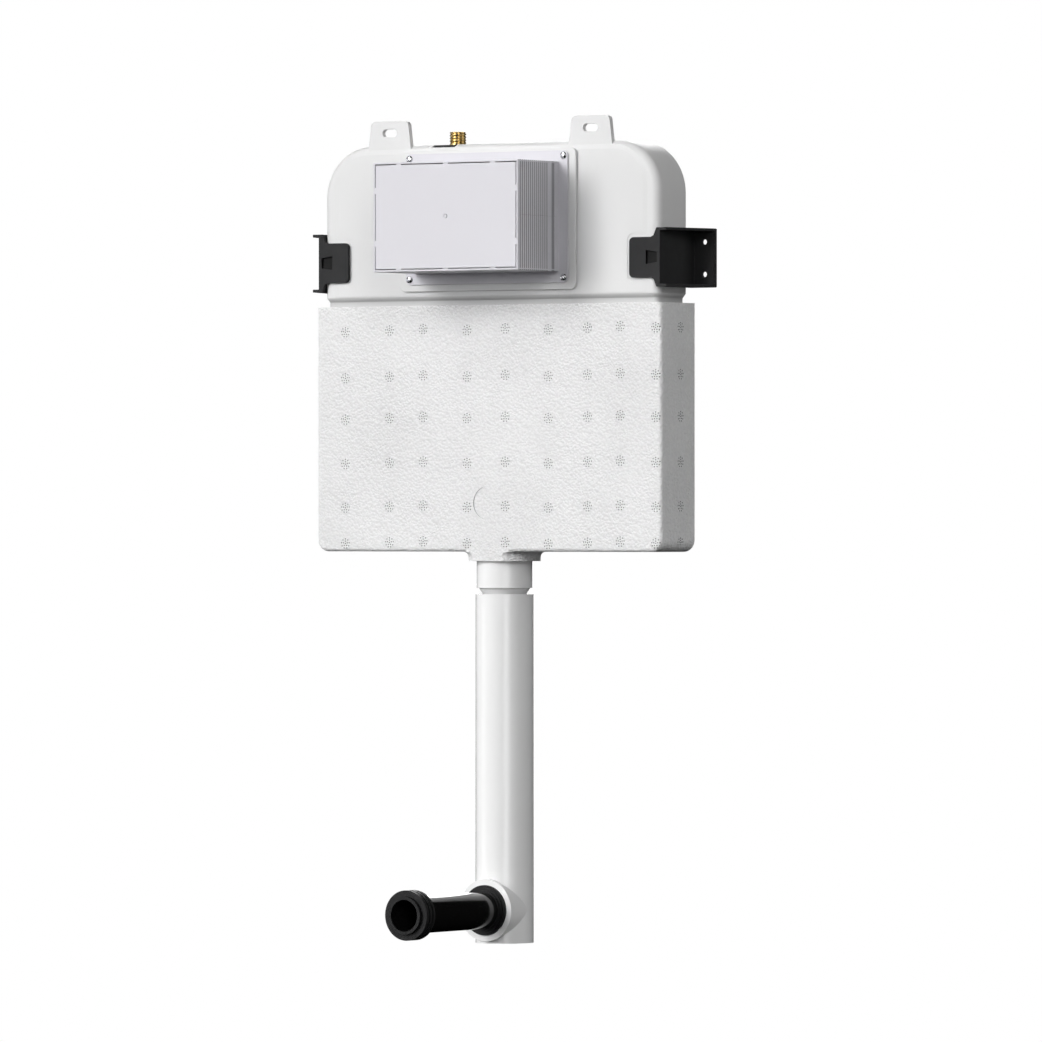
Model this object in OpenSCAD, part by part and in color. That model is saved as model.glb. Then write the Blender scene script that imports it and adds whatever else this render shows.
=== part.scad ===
// Slim toilet cistern for building into a wall, with its flush pipe and pan connector.
// Millimetres. +Z is up and the front faces -Y. The wall plane is Y = 0.
// The origin is the centre of the four bracket holes on the wall plane.

/* [Tank] */
// Width of the tank above the jacket
tank_w = 500; // [440:1:560]
// Depth of the tank above the jacket
tank_d = 70; // [66:0.5:90]
// Height of the tank top above the bracket line
tank_rise = 146; // [130:1:180]
// Depth of the tank floor below the bracket line
tank_drop = 350; // [300:1:400]
// Radius of the two top corners
tank_corner_r = 65; // [30:1:80]
// Rounding of the tank edges
tank_edge_r = 10; // [8:0.5:14]
// Thickness of the tank wall
tank_wall = 3; // [2:0.1:4]
// How far the tank narrows where the jacket begins
waist_in = 4; // [3:0.5:5.5]
// Depth of the shoulder below the bracket line
shoulder_drop = 44; // [40:1:60]
// Height of the sloping band under the shoulder
shoulder_slope = 5.5; // [4:0.5:10]
// Height of the waist left in view above the jacket
waist_show = 6; // [4:0.5:10]
// Height of the raised panel on the tank front
panel_t = 0.8; // [0.4:0.1:1.5]
// Margin of the raised panel inside the tank outline
panel_margin = 22.5; // [18:0.5:26]
// Distance of the raised panel from the tank top
panel_top_margin = 11; // [10:0.5:16]
// Width of the sloping rim round the raised panel
panel_rim = 6; // [3:0.5:8]
// Clearance left in the panel round a bracket tab
tab_pocket = 5; // [3:0.5:8]
// Clearance between pieces that sit on each other
fit = 0.3; // [0.2:0.05:0.6]

/* [Hanging lugs] */
// Distance between the two lug slots
lug_spacing = 300; // [240:1:340]
// Width of a lug at its top
lug_w = 57; // [50:1:64]
// Width of a lug at its foot
lug_foot_w = 65; // [64:1:74]
// Height of a lug above the tank top
lug_h = 31; // [28:1:40]
// Thickness of a lug
lug_t = 7; // [5:0.5:9]
// Rounding of the lug top corners
lug_corner_r = 7; // [4:0.5:10]
// Length of a lug slot
slot_l = 22; // [16:0.5:26]
// Width of a lug slot
slot_w = 10; // [8:0.5:11]
// Height of the slot line above the tank top
slot_rise = 16; // [13:0.5:18]

/* [Insulation jacket] */
// Thickness of the jacket at the sides
jacket_side_wall = 11.2; // [9:0.1:16]
// Thickness of the jacket front and back
jacket_face_wall = 8.7; // [8:0.1:14]
// Thickness of the jacket floor
jacket_floor_t = 12.9; // [10:0.1:18]
// Radius of the bottom corners
jacket_corner_r = 15; // [10:1:25]
// Rounding of the jacket edges
jacket_edge_r = 5; // [3:0.5:8]
// Radius of the neck round the outlet
neck_r = 45; // [43:0.5:48]
// Height of the neck below the jacket
neck_h = 11.8; // [10:0.1:20]
// Flare where the neck meets the jacket
neck_flare = 7; // [4:0.5:9]

/* [Access opening] */
// Height of the opening centre above the bracket line
access_rise = 52.5; // [45:0.5:60]
// Width of the opening in the tank
opening_w = 204; // [190:1:206]
// Height of the opening in the tank
opening_h = 126; // [120:1:128]
// Corner radius of the opening
opening_r = 8; // [6:0.5:12]
// Width of the access frame
frame_w = 263; // [255:1:280]
// Height of the access frame
frame_h = 176; // [172:1:180]
// Distance of the frame centre below the opening centre
frame_drop = 2.5; // [0:0.5:4]
// Corner radius of the access frame
frame_corner_r = 8; // [6:0.5:12]
// Thickness of the access frame
frame_t = 3; // [2:0.1:5]
// Wall of the sleeve that lines the opening
sleeve_wall = 2.5; // [2:0.1:3]
// Reach of the sleeve behind the tank wall
sleeve_reach = 7; // [6:0.5:9]
// Thickness of the gasket under the frame
gasket_t = 1; // [0.5:0.1:2]
// Width of the gasket ring
gasket_w = 8; // [5:0.5:10]

/* [Protection box] */
// Width of the protection box
box_w = 215; // [210:0.5:225]
// Height of the protection box
box_h = 136; // [133:0.5:140]
// Depth of the box in front of its flange
box_d = 91.5; // [60:0.5:110]
// Wall of the box
box_wall = 2.4; // [2:0.1:3]
// Thickness of the box front
box_front_t = 2; // [1.5:0.1:3]
// Depth of the cutting grooves
groove_d = 0.9; // [0.5:0.1:1.2]
// Width of a cutting groove
groove_w = 2.1; // [1.5:0.1:2.5]
// Distance from one groove to the next
groove_pitch = 4.6; // [4:0.1:6]
// Width of the box flange
flange_w = 242; // [236:1:250]
// Height of the box flange
flange_h = 164; // [160:1:168]
// Corner radius of the box flange
flange_r = 7; // [5:0.5:9]
// Thickness of the box flange
flange_t = 2.4; // [2:0.1:3]
// Width of a tear line slot in the box front
tear_w = 1; // [0.6:0.1:1.5]
// Length of the bridges in the tear lines
tear_bridge = 7.5; // [4:0.5:10]
// Bridges in the tear lines along the top and bottom
tear_bridges_x = 3; // [2:1:5]
// Bridges in the tear lines along the sides
tear_bridges_z = 2; // [1:1:4]
// Width of the parting line on the box sides
parting_w = 0.6; // [0.4:0.1:1]
// Depth of the parting line on the box sides
parting_d = 0.3; // [0.2:0.1:0.6]
// Distance between the screws across the flange
screw_span_x = 230; // [224:1:234]
// Distance between the screws up the flange
screw_span_z = 151; // [146:1:154]
// Radius of a screw head
screw_head_r = 4.8; // [4:0.1:5.2]
// Radius of a screw shank
screw_r = 1.9; // [1.5:0.1:2.1]

/* [Wall brackets] */
// Distance between the bracket hole columns
hole_span_x = 544; // [530:1:620]
// Distance between the two holes of a bracket
hole_span_z = 40; // [30:1:46]
// Radius of a bracket hole
hole_r = 3.4; // [2.5:0.1:4.5]
// Height of a bracket
bracket_h = 73; // [66:1:74]
// Thickness of the bracket side web
web_t = 4.7; // [3:0.1:6]
// Thickness of the bracket wall flange
wall_flange_t = 4; // [3:0.5:6]
// Reach of the wall flange outside the hole column
flange_margin = 16; // [10:1:20]
// Corner radius of the wall flange
flange_corner_r = 1.5; // [1:0.5:5]
// Thickness of the gusset ribs
gusset_t = 3.6; // [2.5:0.1:5]
// Reach of the gusset ribs beyond the web at the front
gusset_front = 9; // [6:0.5:12]
// Height of the front tab
tab_h = 50; // [42:1:54]
// Reach of the front tab over the tank face
tab_l = 40.4; // [34:0.2:44]
// Rounding of the tab corners
tab_r = 6; // [3:0.5:8]

/* [Water inlet] */
// Distance of the inlet to the left of the centre
inlet_offset = 70; // [66:1:74]
// Radius of the inlet tail
tail_r = 10.4775; // [10:0.0005:11]
// Height of the inlet tail above the tank top
tail_rise = 17; // [14:1:24]
// Radius of the inlet waterway
tail_bore_r = 7.5; // [6:0.1:8]
// Width of the plate on the tank top
plate_w = 33; // [30:1:36]
// Length of the plate from front to back
plate_l = 46; // [42:1:48]
// Thickness of the plate
plate_t = 3; // [2:0.1:4]

/* [Stop valve] */
// Radius of the stop valve body
stop_r = 13; // [12:0.5:14]
// Height of the knob axis above the bracket line
stop_rise = 96; // [94:1:99]
// Radius of the knob
knob_r = 11; // [9:0.5:12]
// Radius of the hose
hose_r = 6.5; // [5:0.5:7]
// Bend radius of the hose
hose_bend_r = 40; // [30:1:41]

/* [Fill valve] */
// Distance of the fill valve to the left of the centre
fill_offset = 150; // [148:1:154]
// Radius of the fill valve body
fill_r = 13; // [12:0.5:14]
// Height of the fill valve body
fill_body_h = 61; // [58:1:64]
// Radius of the fill valve shank
shank_r = 9; // [8:0.5:10]
// Length of the fill valve shank
shank_l = 75; // [70:1:90]
// Radius of the float cup
float_r = 24; // [20:0.5:24.5]
// Height of the float cup
float_h = 44; // [30:1:50]
// Length of the float lever from pivot to rod
float_arm = 33; // [32:0.5:34]

/* [Flush valve] */
// Radius of the valve base
base_r = 26; // [24:0.25:26.5]
// Radius of the threaded valve tail
valve_tail_r = 22; // [20:0.5:22.5]
// Radius of the valve bore
valve_bore_r = 18; // [16:0.5:18.5]
// Height of the valve cage
cage_h = 85; // [75:1:100]
// Height of the float on the flush valve
valve_float_h = 26; // [20:1:30]
// Radius of the overflow tube
overflow_r = 13; // [11:0.5:13.5]
// Depth of the overflow mouth below the bracket line
overflow_drop = 25; // [20:1:35]
// Distance of each lift rod from the centre
lift_offset = 24; // [22:0.5:26]
// Radius of a lift rod
lift_rod_r = 2.5; // [2:0.1:3]
// Lift of the flush valve
lift_travel = 14; // [8:0.5:14]
// Depth of the full flush ring below the overflow mouth
full_ring_drop = 25; // [20:1:30]
// Depth of the half flush ring below the overflow mouth
half_ring_drop = 70; // [60:1:90]
// Height of a lift ring
lift_ring_h = 8; // [6:0.5:10]
// Length of the bar over the rocker nose
lift_bar_l = 22; // [20:0.5:24]
// Length of the rocker arm that lifts the rod
rocker_arm = 26; // [25:0.5:27]
// Height of the rocker axle above the bracket line
rocker_rise = 50; // [46:1:52]
// Radius of the rocker axle
axle_r = 3; // [2.5:0.1:3.5]

/* [Outlet and flush pipe] */
// Radius of the outlet nut
nut_r = 35; // [33:0.5:38]
// Length of the outlet nut below the neck
nut_drop = 33.6; // [25:0.1:45]
// Radius of the spigot under the nut
spigot_r = 27.2; // [25:0.1:28]
// Visible gap between the nut and the pipe
pipe_gap = 7.7; // [5:0.1:12]
// Outer radius of the flush pipe
pipe_r = 36.5; // [35:0.25:40]
// Wall of the flush pipe
pipe_wall = 3; // [2.5:0.1:4]
// Length of the straight pipe
pipe_l = 218.7; // [150:0.1:400]
// Height of the bend below the straight pipe
bend_h = 216.7; // [180:0.1:300]
// Height of the branch axis above the bend base
branch_rise = 41.7; // [41:0.1:60]
// Radius of the lip round the branch mouth
branch_lip_r = 38.75; // [38:0.25:40]
// Reach of the branch mouth in front of the pipe axis
branch_reach = 44; // [42:0.5:60]

/* [Pan connector] */
// Outer radius of the connector tube
tube_r = 23; // [20:0.25:24]
// Wall of the connector tube
tube_wall = 3; // [2:0.1:4]
// Distance of the pan seal face from the pipe axis
connector_reach = 225; // [150:1:300]
// Radius of the pan seal ribs
seal_r = 31; // [30:0.25:32]
// Radius of the branch seal in its mouth
branch_seal_r = 31.4; // [30.5:0.1:32]
// Length of the pan seal
pan_seal_l = 32; // [28:1:40]
// Radius of the hole in the pan seal
seal_hole_r = 19.6; // [17:0.1:19.9]
// Running clearance of the tube in the branch seal
slide_gap = 0.05; // [0.01:0.01:0.1]

/* [Hidden] */
$fn = 96;
over = 1;
axis_y = -((tank_d - 2 * waist_in) / 2 + fit + jacket_face_wall);
tank_half = tank_w / 2;
tank_front = axis_y - tank_d / 2;
tank_back = axis_y + tank_d / 2;
tank_top = tank_rise;
tank_floor = -tank_drop;
shoulder_z = -shoulder_drop;
waist_half = tank_half - waist_in;
waist_front = tank_front + waist_in;
waist_back = tank_back - waist_in;
waist_r = tank_edge_r - waist_in;
floor_in = tank_floor + tank_wall;
panel_front = tank_front - panel_t;
slot_z = tank_top + slot_rise;

jacket_half = waist_half + fit + jacket_side_wall;
jacket_front = waist_front - fit - jacket_face_wall;
jacket_back = waist_back + fit + jacket_face_wall;
jacket_top = shoulder_z - shoulder_slope - waist_show;
jacket_floor = tank_floor - fit - jacket_floor_t;
neck_bottom = jacket_floor - neck_h;

access_z = access_rise;
gasket_front = panel_front - gasket_t;
frame_front = gasket_front - frame_t;
flange_front = frame_front - flange_t;
box_front = flange_front - box_d;
sleeve_half_w = opening_w / 2 - fit;
sleeve_half_h = opening_h / 2 - fit;
sleeve_back = tank_front + tank_wall + sleeve_reach;
groove_start = 5;
root_groove_w = 6;
root_groove_y = box_d - 15;
groove_count = floor((root_groove_y - groove_start - root_groove_w) / groove_pitch);
snap_x = 60;
snap_w = 18;
snap_t = 3;
snap_h = 5;

web_in = tank_half + fit;
web_out = web_in + web_t;
flange_out = hole_span_x / 2 + flange_margin;
half_bracket = bracket_h / 2;
clip_y = tank_back + fit;

inlet_x = -inlet_offset;
inlet_pad_w = 48;
recess_d = plate_t + 0.5;
recess_gap = 1;
recess_l = plate_l + 14;
recess_z = tank_top - recess_d;
pad_z = recess_z - tank_wall;
washer_t = 2;
washer_r = 14;
hex_h = 5.5;
hex_r = 16.5;
socket_l = 13;
socket_r = 9;
hex_z = pad_z - washer_t - hex_h;
stop_z = stop_rise;
stop_bottom = stop_z - 14;
spout_x = inlet_x - stop_r - 12;
knob_y = axis_y - stop_r - 5;
stem_boss_r = 8;
stem_r = 3.95;
stem_hole_y = 8;
stem_end = axis_y - stem_hole_y - 2;

fill_x = -fill_offset;
hose_turn_x = fill_x + hose_bend_r;
hose_tail = 8;
fill_top = stop_z - hose_bend_r;
fill_mid = fill_top - fill_body_h;
fill_spigot_r = 9;
hose_nut_h = 16;
hose_nut_grip = 9;
hose_nut_r = 12.5;
hose_bore = hose_r - 2.5;
press_gap = 0.1;
float_top = fill_mid - 13;
pivot_x = fill_x + 18;
pivot_z = fill_mid + 27;
rod_x = pivot_x - float_arm;
lever_t = 4.5;
lever_y = axis_y - fill_r - 1 - lever_t;
rod_y = lever_y + lever_t / 2;

washer_top = floor_in + 3;
base_top = washer_top + 4;
seat_z = base_top + 5;
seal_t = 4;
cage_roof_t = 3;
cage_top = base_top + cage_h;
overflow_top = -overflow_drop;
overflow_bore = overflow_r - 2.5;
valve_tail_drop = 42;
tail_bottom = tank_floor - valve_tail_drop;
rocker_reach = 19;
rocker_y = axis_y - rocker_reach;
rocker_z = rocker_rise;
rocker_w = 14;
hub_r = 6;
nose_r = 2.5;
bar_z = rocker_z + nose_r + 0.5;
lift_reach = 19;
lift_y = axis_y + lift_reach;
bridge_half = sleeve_half_w - sleeve_wall - fit;
ear_t = 4.5;

nut_bottom = neck_bottom - nut_drop;
outlet_washer_t = 3;
nut_top = tank_floor - outlet_washer_t;
pipe_top = nut_bottom - pipe_gap;
pipe_bore = pipe_r - pipe_wall;
joint_z = pipe_top - pipe_l;
bend_bottom = joint_z - bend_h;
bend_bore = pipe_bore - 0.5;
branch_z = bend_bottom + branch_rise;
branch_y = axis_y - branch_reach;
branch_r = pipe_r - 0.3;
mouth_r = branch_seal_r + slide_gap;
seal_face = axis_y - connector_reach;
tube_front = seal_face + 3;
tube_back = axis_y - 9;
tube_bore = tube_r - tube_wall;

// Flat outline with four rounded corners
module rounded_rect(x0, x1, y0, y1, r) {
    translate([x0 + r, y0])
        square([x1 - x0 - 2 * r, y1 - y0]);
    translate([x0, y0 + r])
        square([x1 - x0, y1 - y0 - 2 * r]);
    for (x = [x0 + r, x1 - r], y = [y0 + r, y1 - r])
        translate([x, y])
            circle(r);
}

// Flat outline whose far end along x has two rounded corners
module rounded_end(y0, y1, length, r) {
    translate([0, y0])
        square([length - r, y1 - y0]);
    translate([0, y0 + r])
        square([length, y1 - y0 - 2 * r]);
    for (y = [y0 + r, y1 - r])
        translate([length - r, y])
            circle(r);
}

// Flat ring
module ring(r_in, r_out) {
    difference() {
        circle(r_out);
        circle(r_in);
    }
}

// Extrudes an outline drawn in Y and Z along X
module along_x(x0, x1) {
    translate([x0, 0, 0])
        rotate([90, 0, 90])
            linear_extrude(x1 - x0)
                children();
}

// Extrudes an outline drawn in X and Z along Y
module along_y(y0, y1) {
    translate([0, y1, 0])
        rotate([90, 0, 0])
            linear_extrude(y1 - y0)
                children();
}

// Extrudes an outline drawn in X and Y along Z
module along_z(z0, z1) {
    translate([0, 0, z0])
        linear_extrude(z1 - z0)
            children();
}

// Turns a profile of radius and Y about an axis along Y
module turned_y(x, z) {
    translate([x, 0, z])
        rotate([-90, 0, 0])
            rotate_extrude()
                children();
}

// Turns a profile of radius and Z about an upright axis
module turned_z(x, y) {
    translate([x, y, 0])
        rotate_extrude()
            children();
}

// Upright slab from z = 0 with rounded edges and two large corners at its far end
module round_ended_slab(half_w, y0, y1, length, corner_r, edge_r) {
    straight = length - corner_r;
    along_z(0, straight)
        rounded_rect(-half_w, half_w, y0, y1, edge_r);
    translate([half_w - corner_r, 0, straight])
        rotate([0, -90, 0])
            linear_extrude(2 * (half_w - corner_r))
                rounded_end(y0, y1, corner_r, edge_r);
    for (side = [0, 1])
        mirror([side, 0, 0])
            translate([half_w - corner_r, 0, straight])
                rotate([90, 0, 0])
                    rotate_extrude(angle = 90)
                        rounded_end(-y1, -y0, corner_r, edge_r);
}

// Tank above the shoulder, drawn in from its outside by inset
module tank_upper(inset) {
    translate([0, 0, shoulder_z])
        round_ended_slab(
            tank_half - inset, tank_front + inset, tank_back - inset,
            tank_top - inset - shoulder_z, tank_corner_r - inset, tank_edge_r - inset
        );
}

// Tank inside the jacket, drawn in from its outside by inset
module tank_lower(inset, top) {
    along_z(tank_floor + inset, top)
        rounded_rect(
            -waist_half + inset, waist_half - inset, waist_front + inset, waist_back - inset,
            waist_r - inset / 2
        );
}

// Sloping band between the shoulder and the jacket
module tank_slope() {
    low_z = shoulder_z - shoulder_slope;
    along_x(tank_edge_r - tank_half, tank_half - tank_edge_r)
        polygon([
            [tank_front, shoulder_z], [tank_back, shoulder_z],
            [waist_back, low_z], [waist_front, low_z]
        ]);
    along_y(tank_front + tank_edge_r, tank_back - tank_edge_r)
        polygon([
            [-tank_half, shoulder_z], [tank_half, shoulder_z],
            [waist_half, low_z], [-waist_half, low_z]
        ]);
    for (x = [0, 1], y = [0, 1])
        translate([(2 * x - 1) * (tank_half - tank_edge_r), axis_y, shoulder_z])
            mirror([1 - x, 0, 0])
                mirror([0, 1 - y, 0])
                    translate([0, tank_d / 2 - tank_edge_r, 0])
                        rotate_extrude(angle = 90)
                            polygon([
                                [0, 0], [tank_edge_r, 0], [waist_r, -shoulder_slope], [0, -shoulder_slope]
                            ]);
}

// Raised panel with a sloping rim on the tank front, cleared round the bracket tabs
module front_panel() {
    half_w = tank_half - panel_margin;
    top = tank_top - panel_top_margin;
    bottom = shoulder_z + 1;
    corner_r = tank_corner_r - panel_margin;
    corner_x = half_w - corner_r;
    corner_z = top - corner_r;
    root = tank_front + tank_wall / 2;
    difference() {
        union() {
            along_y(panel_front, root)
                translate([0, bottom])
                    rotate(90)
                        rounded_end(-half_w, half_w, top - bottom, corner_r);
            along_x(-corner_x, corner_x)
                polygon([
                    [panel_front, top], [tank_front, top + panel_rim], [root, top + panel_rim],
                    [root, top - 1], [panel_front, top - 1]
                ]);
            for (side = [0, 1])
                mirror([side, 0, 0]) {
                    along_z(bottom, corner_z)
                        polygon([
                            [half_w, panel_front], [half_w + panel_rim, tank_front],
                            [half_w + panel_rim, root], [half_w - 1, root], [half_w - 1, panel_front]
                        ]);
                    translate([corner_x, 0, corner_z])
                        rotate([90, 0, 0])
                            rotate_extrude(angle = 90)
                                polygon([
                                    [0, -panel_front], [corner_r, -panel_front],
                                    [corner_r + panel_rim, -tank_front], [corner_r + panel_rim, -root],
                                    [0, -root]
                                ]);
                }
        }
        for (side = [0, 1])
            mirror([side, 0, 0])
                along_y(panel_front - over, tank_front)
                    translate([tank_half, 0])
                        rotate(180)
                            rounded_end(
                                -tab_h / 2 - tab_pocket, tab_h / 2 + tab_pocket,
                                tank_half - web_in + tab_l + tab_pocket, tab_r + tab_pocket / 2
                            );
    }
}

// Lug that stands on the tank top, flush with its front, and narrows upwards
module hanging_lug() {
    foot_z = tank_top - tank_edge_r;
    top = tank_top + lug_h;
    corner_z = top - lug_corner_r;
    corner_x = lug_w / 2 - lug_corner_r;
    along_y(tank_front, tank_front + lug_t)
        difference() {
            union() {
                polygon([
                    [-lug_foot_w / 2, foot_z], [lug_foot_w / 2, foot_z], [lug_w / 2, corner_z],
                    [corner_x, top], [-corner_x, top], [-lug_w / 2, corner_z]
                ]);
                for (side = [-1, 1])
                    translate([side * corner_x, corner_z])
                        circle(lug_corner_r);
            }
            lug_slot();
        }
}

// Slot of a hanging lug
module lug_slot() {
    reach = (slot_l - slot_w) / 2;
    translate([-reach, slot_z - slot_w / 2])
        square([2 * reach, slot_w]);
    for (side = [-1, 1])
        translate([side * reach, slot_z])
            circle(slot_w / 2);
}

module tank_shell() {
    color("white")
        difference() {
            union() {
                difference() {
                    union() {
                        tank_upper(0);
                        tank_lower(0, shoulder_z);
                        tank_slope();
                        front_panel();
                        for (side = [-1, 1])
                            translate([side * lug_spacing / 2, 0, 0])
                                hanging_lug();
                    }
                    tank_upper(tank_wall);
                    tank_lower(tank_wall, shoulder_z + over);
                }
                translate([inlet_x - inlet_pad_w / 2, tank_front + tank_wall - over, pad_z])
                    cube([
                        inlet_pad_w, tank_d - 2 * tank_wall + 2 * over,
                        tank_top - tank_wall - pad_z + over / 2
                    ]);
            }
            along_y(panel_front - over, tank_front + tank_wall + over)
                rounded_rect(
                    -opening_w / 2, opening_w / 2, access_z - opening_h / 2, access_z + opening_h / 2,
                    opening_r
                );
            translate([inlet_x - plate_w / 2 - recess_gap, tank_front - over, recess_z])
                cube([plate_w + 2 * recess_gap, recess_l, recess_d + over]);
            translate([inlet_x, axis_y, pad_z - over])
                cylinder(r = tail_r + fit, h = tank_wall + 2 * over);
            translate([0, axis_y, tank_floor - over])
                cylinder(r = valve_tail_r + fit, h = tank_wall + 2 * over);
        }
}

module insulation_jacket() {
    flare = [
        for (a = [0:15:75])
            [neck_r + neck_flare * (1 - cos(a)), jacket_floor - neck_flare * (1 - sin(a))]
    ];
    inner_z = tank_floor - fit;
    color("whitesmoke")
        difference() {
            union() {
                translate([0, 0, jacket_top])
                    mirror([0, 0, 1])
                        round_ended_slab(
                            jacket_half, jacket_front, jacket_back, jacket_top - jacket_floor,
                            jacket_corner_r, jacket_edge_r
                        );
                intersection() {
                    turned_z(0, axis_y)
                        polygon(concat(
                            [[0, neck_bottom], [neck_r, neck_bottom]], flare,
                            [[neck_r + neck_flare - 1, jacket_floor + 7], [0, jacket_floor + 7]]
                        ));
                    translate([-jacket_half, jacket_front, neck_bottom - over])
                        cube([2 * jacket_half, jacket_back - jacket_front, neck_h + jacket_floor_t]);
                }
            }
            along_z(inner_z, jacket_top + over)
                rounded_rect(
                    -waist_half - fit, waist_half + fit, waist_front - fit, waist_back + fit, waist_r + fit
                );
            translate([0, axis_y, neck_bottom - over])
                cylinder(r = nut_r + 2 * fit, h = neck_h + jacket_floor_t + 2 * over);
        }
}

module access_gasket() {
    half_w = opening_w / 2 + 0.5;
    half_h = opening_h / 2 + 0.5;
    color("dimgray")
        translate([0, 0, access_z])
            along_y(gasket_front, panel_front)
                difference() {
                    rounded_rect(
                        -half_w - gasket_w, half_w + gasket_w, -half_h - gasket_w, half_h + gasket_w,
                        opening_r + gasket_w
                    );
                    rounded_rect(-half_w, half_w, -half_h, half_h, opening_r);
                }
}

// Places a piece at each flange screw
module at_screws() {
    for (x = [-1, 1], z = [-1, 1])
        translate([x * screw_span_x / 2, 0, access_z + z * screw_span_z / 2])
            children();
}

module access_frame() {
    half_w = sleeve_half_w - sleeve_wall;
    half_h = sleeve_half_h - sleeve_wall;
    snap_y = tank_front + tank_wall + fit;
    color("white")
        difference() {
            union() {
                translate([0, 0, access_z - frame_drop])
                    along_y(frame_front, gasket_front)
                        rounded_rect(-frame_w / 2, frame_w / 2, -frame_h / 2, frame_h / 2, frame_corner_r);
                translate([0, 0, access_z])
                    along_y(gasket_front - frame_t / 2, sleeve_back)
                        rounded_rect(
                            -sleeve_half_w, sleeve_half_w, -sleeve_half_h, sleeve_half_h, opening_r - fit
                        );
                for (x = [-snap_x, snap_x], z = [-1, 1])
                    translate([x - snap_w / 2, snap_y, access_z + z * sleeve_half_h - snap_h / 2])
                        cube([snap_w, snap_t, snap_h]);
            }
            translate([0, 0, access_z])
                along_y(frame_front - over, sleeve_back + over)
                    rounded_rect(-half_w, half_w, -half_h, half_h, opening_r - sleeve_wall);
            at_screws()
                translate([0, gasket_front + over, 0])
                    rotate([90, 0, 0])
                        cylinder(r = screw_r + 0.1, h = frame_t + 2 * over);
        }
}

// Grooved wall profile of the box: distance from the front, then depth under the outer face
function groove_at(i) = groove_start + i * groove_pitch;
function wall_profile() = concat(
    [[0, 0]],
    [
        for (i = [0:groove_count - 1], k = [0:3])
            [groove_at(i) + (k > 1 ? groove_w : 0), (k == 1 || k == 2) ? groove_d : 0]
    ],
    [
        [root_groove_y, 0], [root_groove_y, groove_d],
        [root_groove_y + root_groove_w, groove_d], [root_groove_y + root_groove_w, 0],
        [box_d, 0], [box_d, box_wall], [0, box_wall]
    ]
);

// Tear line cut along one side of the box front, with a bridge in the middle of each cell
module tear_row(length, bridges) {
    cell = length / bridges;
    difference() {
        translate([-length / 2, 0])
            square([length, tear_w]);
        for (i = [0:bridges - 1])
            translate([-length / 2 + (i + 0.5) * cell - tear_bridge / 2, -over])
                square([tear_bridge, tear_w + 2 * over]);
    }
}

module protection_box() {
    half_w = box_w / 2;
    half_h = box_h / 2;
    profile = wall_profile();
    tear_in = box_wall + tear_w;
    parting_inset = 8;
    gate_in = 2;
    gate_out = 3;
    gate_d = 0.8;
    color("lavender")
        translate([0, 0, access_z])
            difference() {
                union() {
                    for (side = [-1, 1]) {
                        along_z(-half_h, half_h)
                            polygon([for (p = profile) [side * (half_w - p[1]), box_front + p[0]]]);
                        along_x(-half_w, half_w)
                            polygon([for (p = profile) [box_front + p[0], side * (half_h - p[1])]]);
                    }
                    translate([-half_w, box_front, -half_h])
                        cube([box_w, box_front_t, box_h]);
                    along_y(flange_front, frame_front)
                        difference() {
                            rounded_rect(-flange_w / 2, flange_w / 2, -flange_h / 2, flange_h / 2, flange_r);
                            square([box_w - 2 * box_wall, box_h - 2 * box_wall], center = true);
                        }
                }
                along_y(box_front - over, box_front + box_front_t + over) {
                    for (side = [0, 1]) {
                        mirror([0, side])
                            translate([0, half_h - tear_in])
                                tear_row(box_w - 2 * box_wall, tear_bridges_x);
                        mirror([side, 0])
                            translate([half_w - box_wall, 0])
                                rotate(90)
                                    tear_row(box_h - 2 * box_wall, tear_bridges_z);
                    }
                }
                for (side = [-1, 1])
                    translate([side * half_w, box_front + box_d / 2, 0])
                        cube([2 * parting_d, box_d - 2 * parting_inset, parting_w], center = true);
                translate([0, 0, -access_z])
                    at_screws()
                        translate([0, frame_front + over, 0])
                            rotate([90, 0, 0])
                                cylinder(r = screw_r + fit, h = flange_t + 2 * over);
                turned_y(0, 0)
                    polygon([
                        [gate_in, box_front - over], [gate_out, box_front - over],
                        [gate_out, box_front + gate_d], [gate_in, box_front + gate_d]
                    ]);
            }
}

module box_screws() {
    tip = gasket_front - 0.4;
    color("silver")
        at_screws()
            turned_y(0, 0)
                polygon([
                    [0, flange_front - 2.6], [2.6, flange_front - 2.3], [4.2, flange_front - 1.4],
                    [screw_head_r, flange_front - 0.4], [screw_head_r, flange_front],
                    [screw_r, flange_front], [screw_r, tip], [0, tip]
                ]);
}

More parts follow.
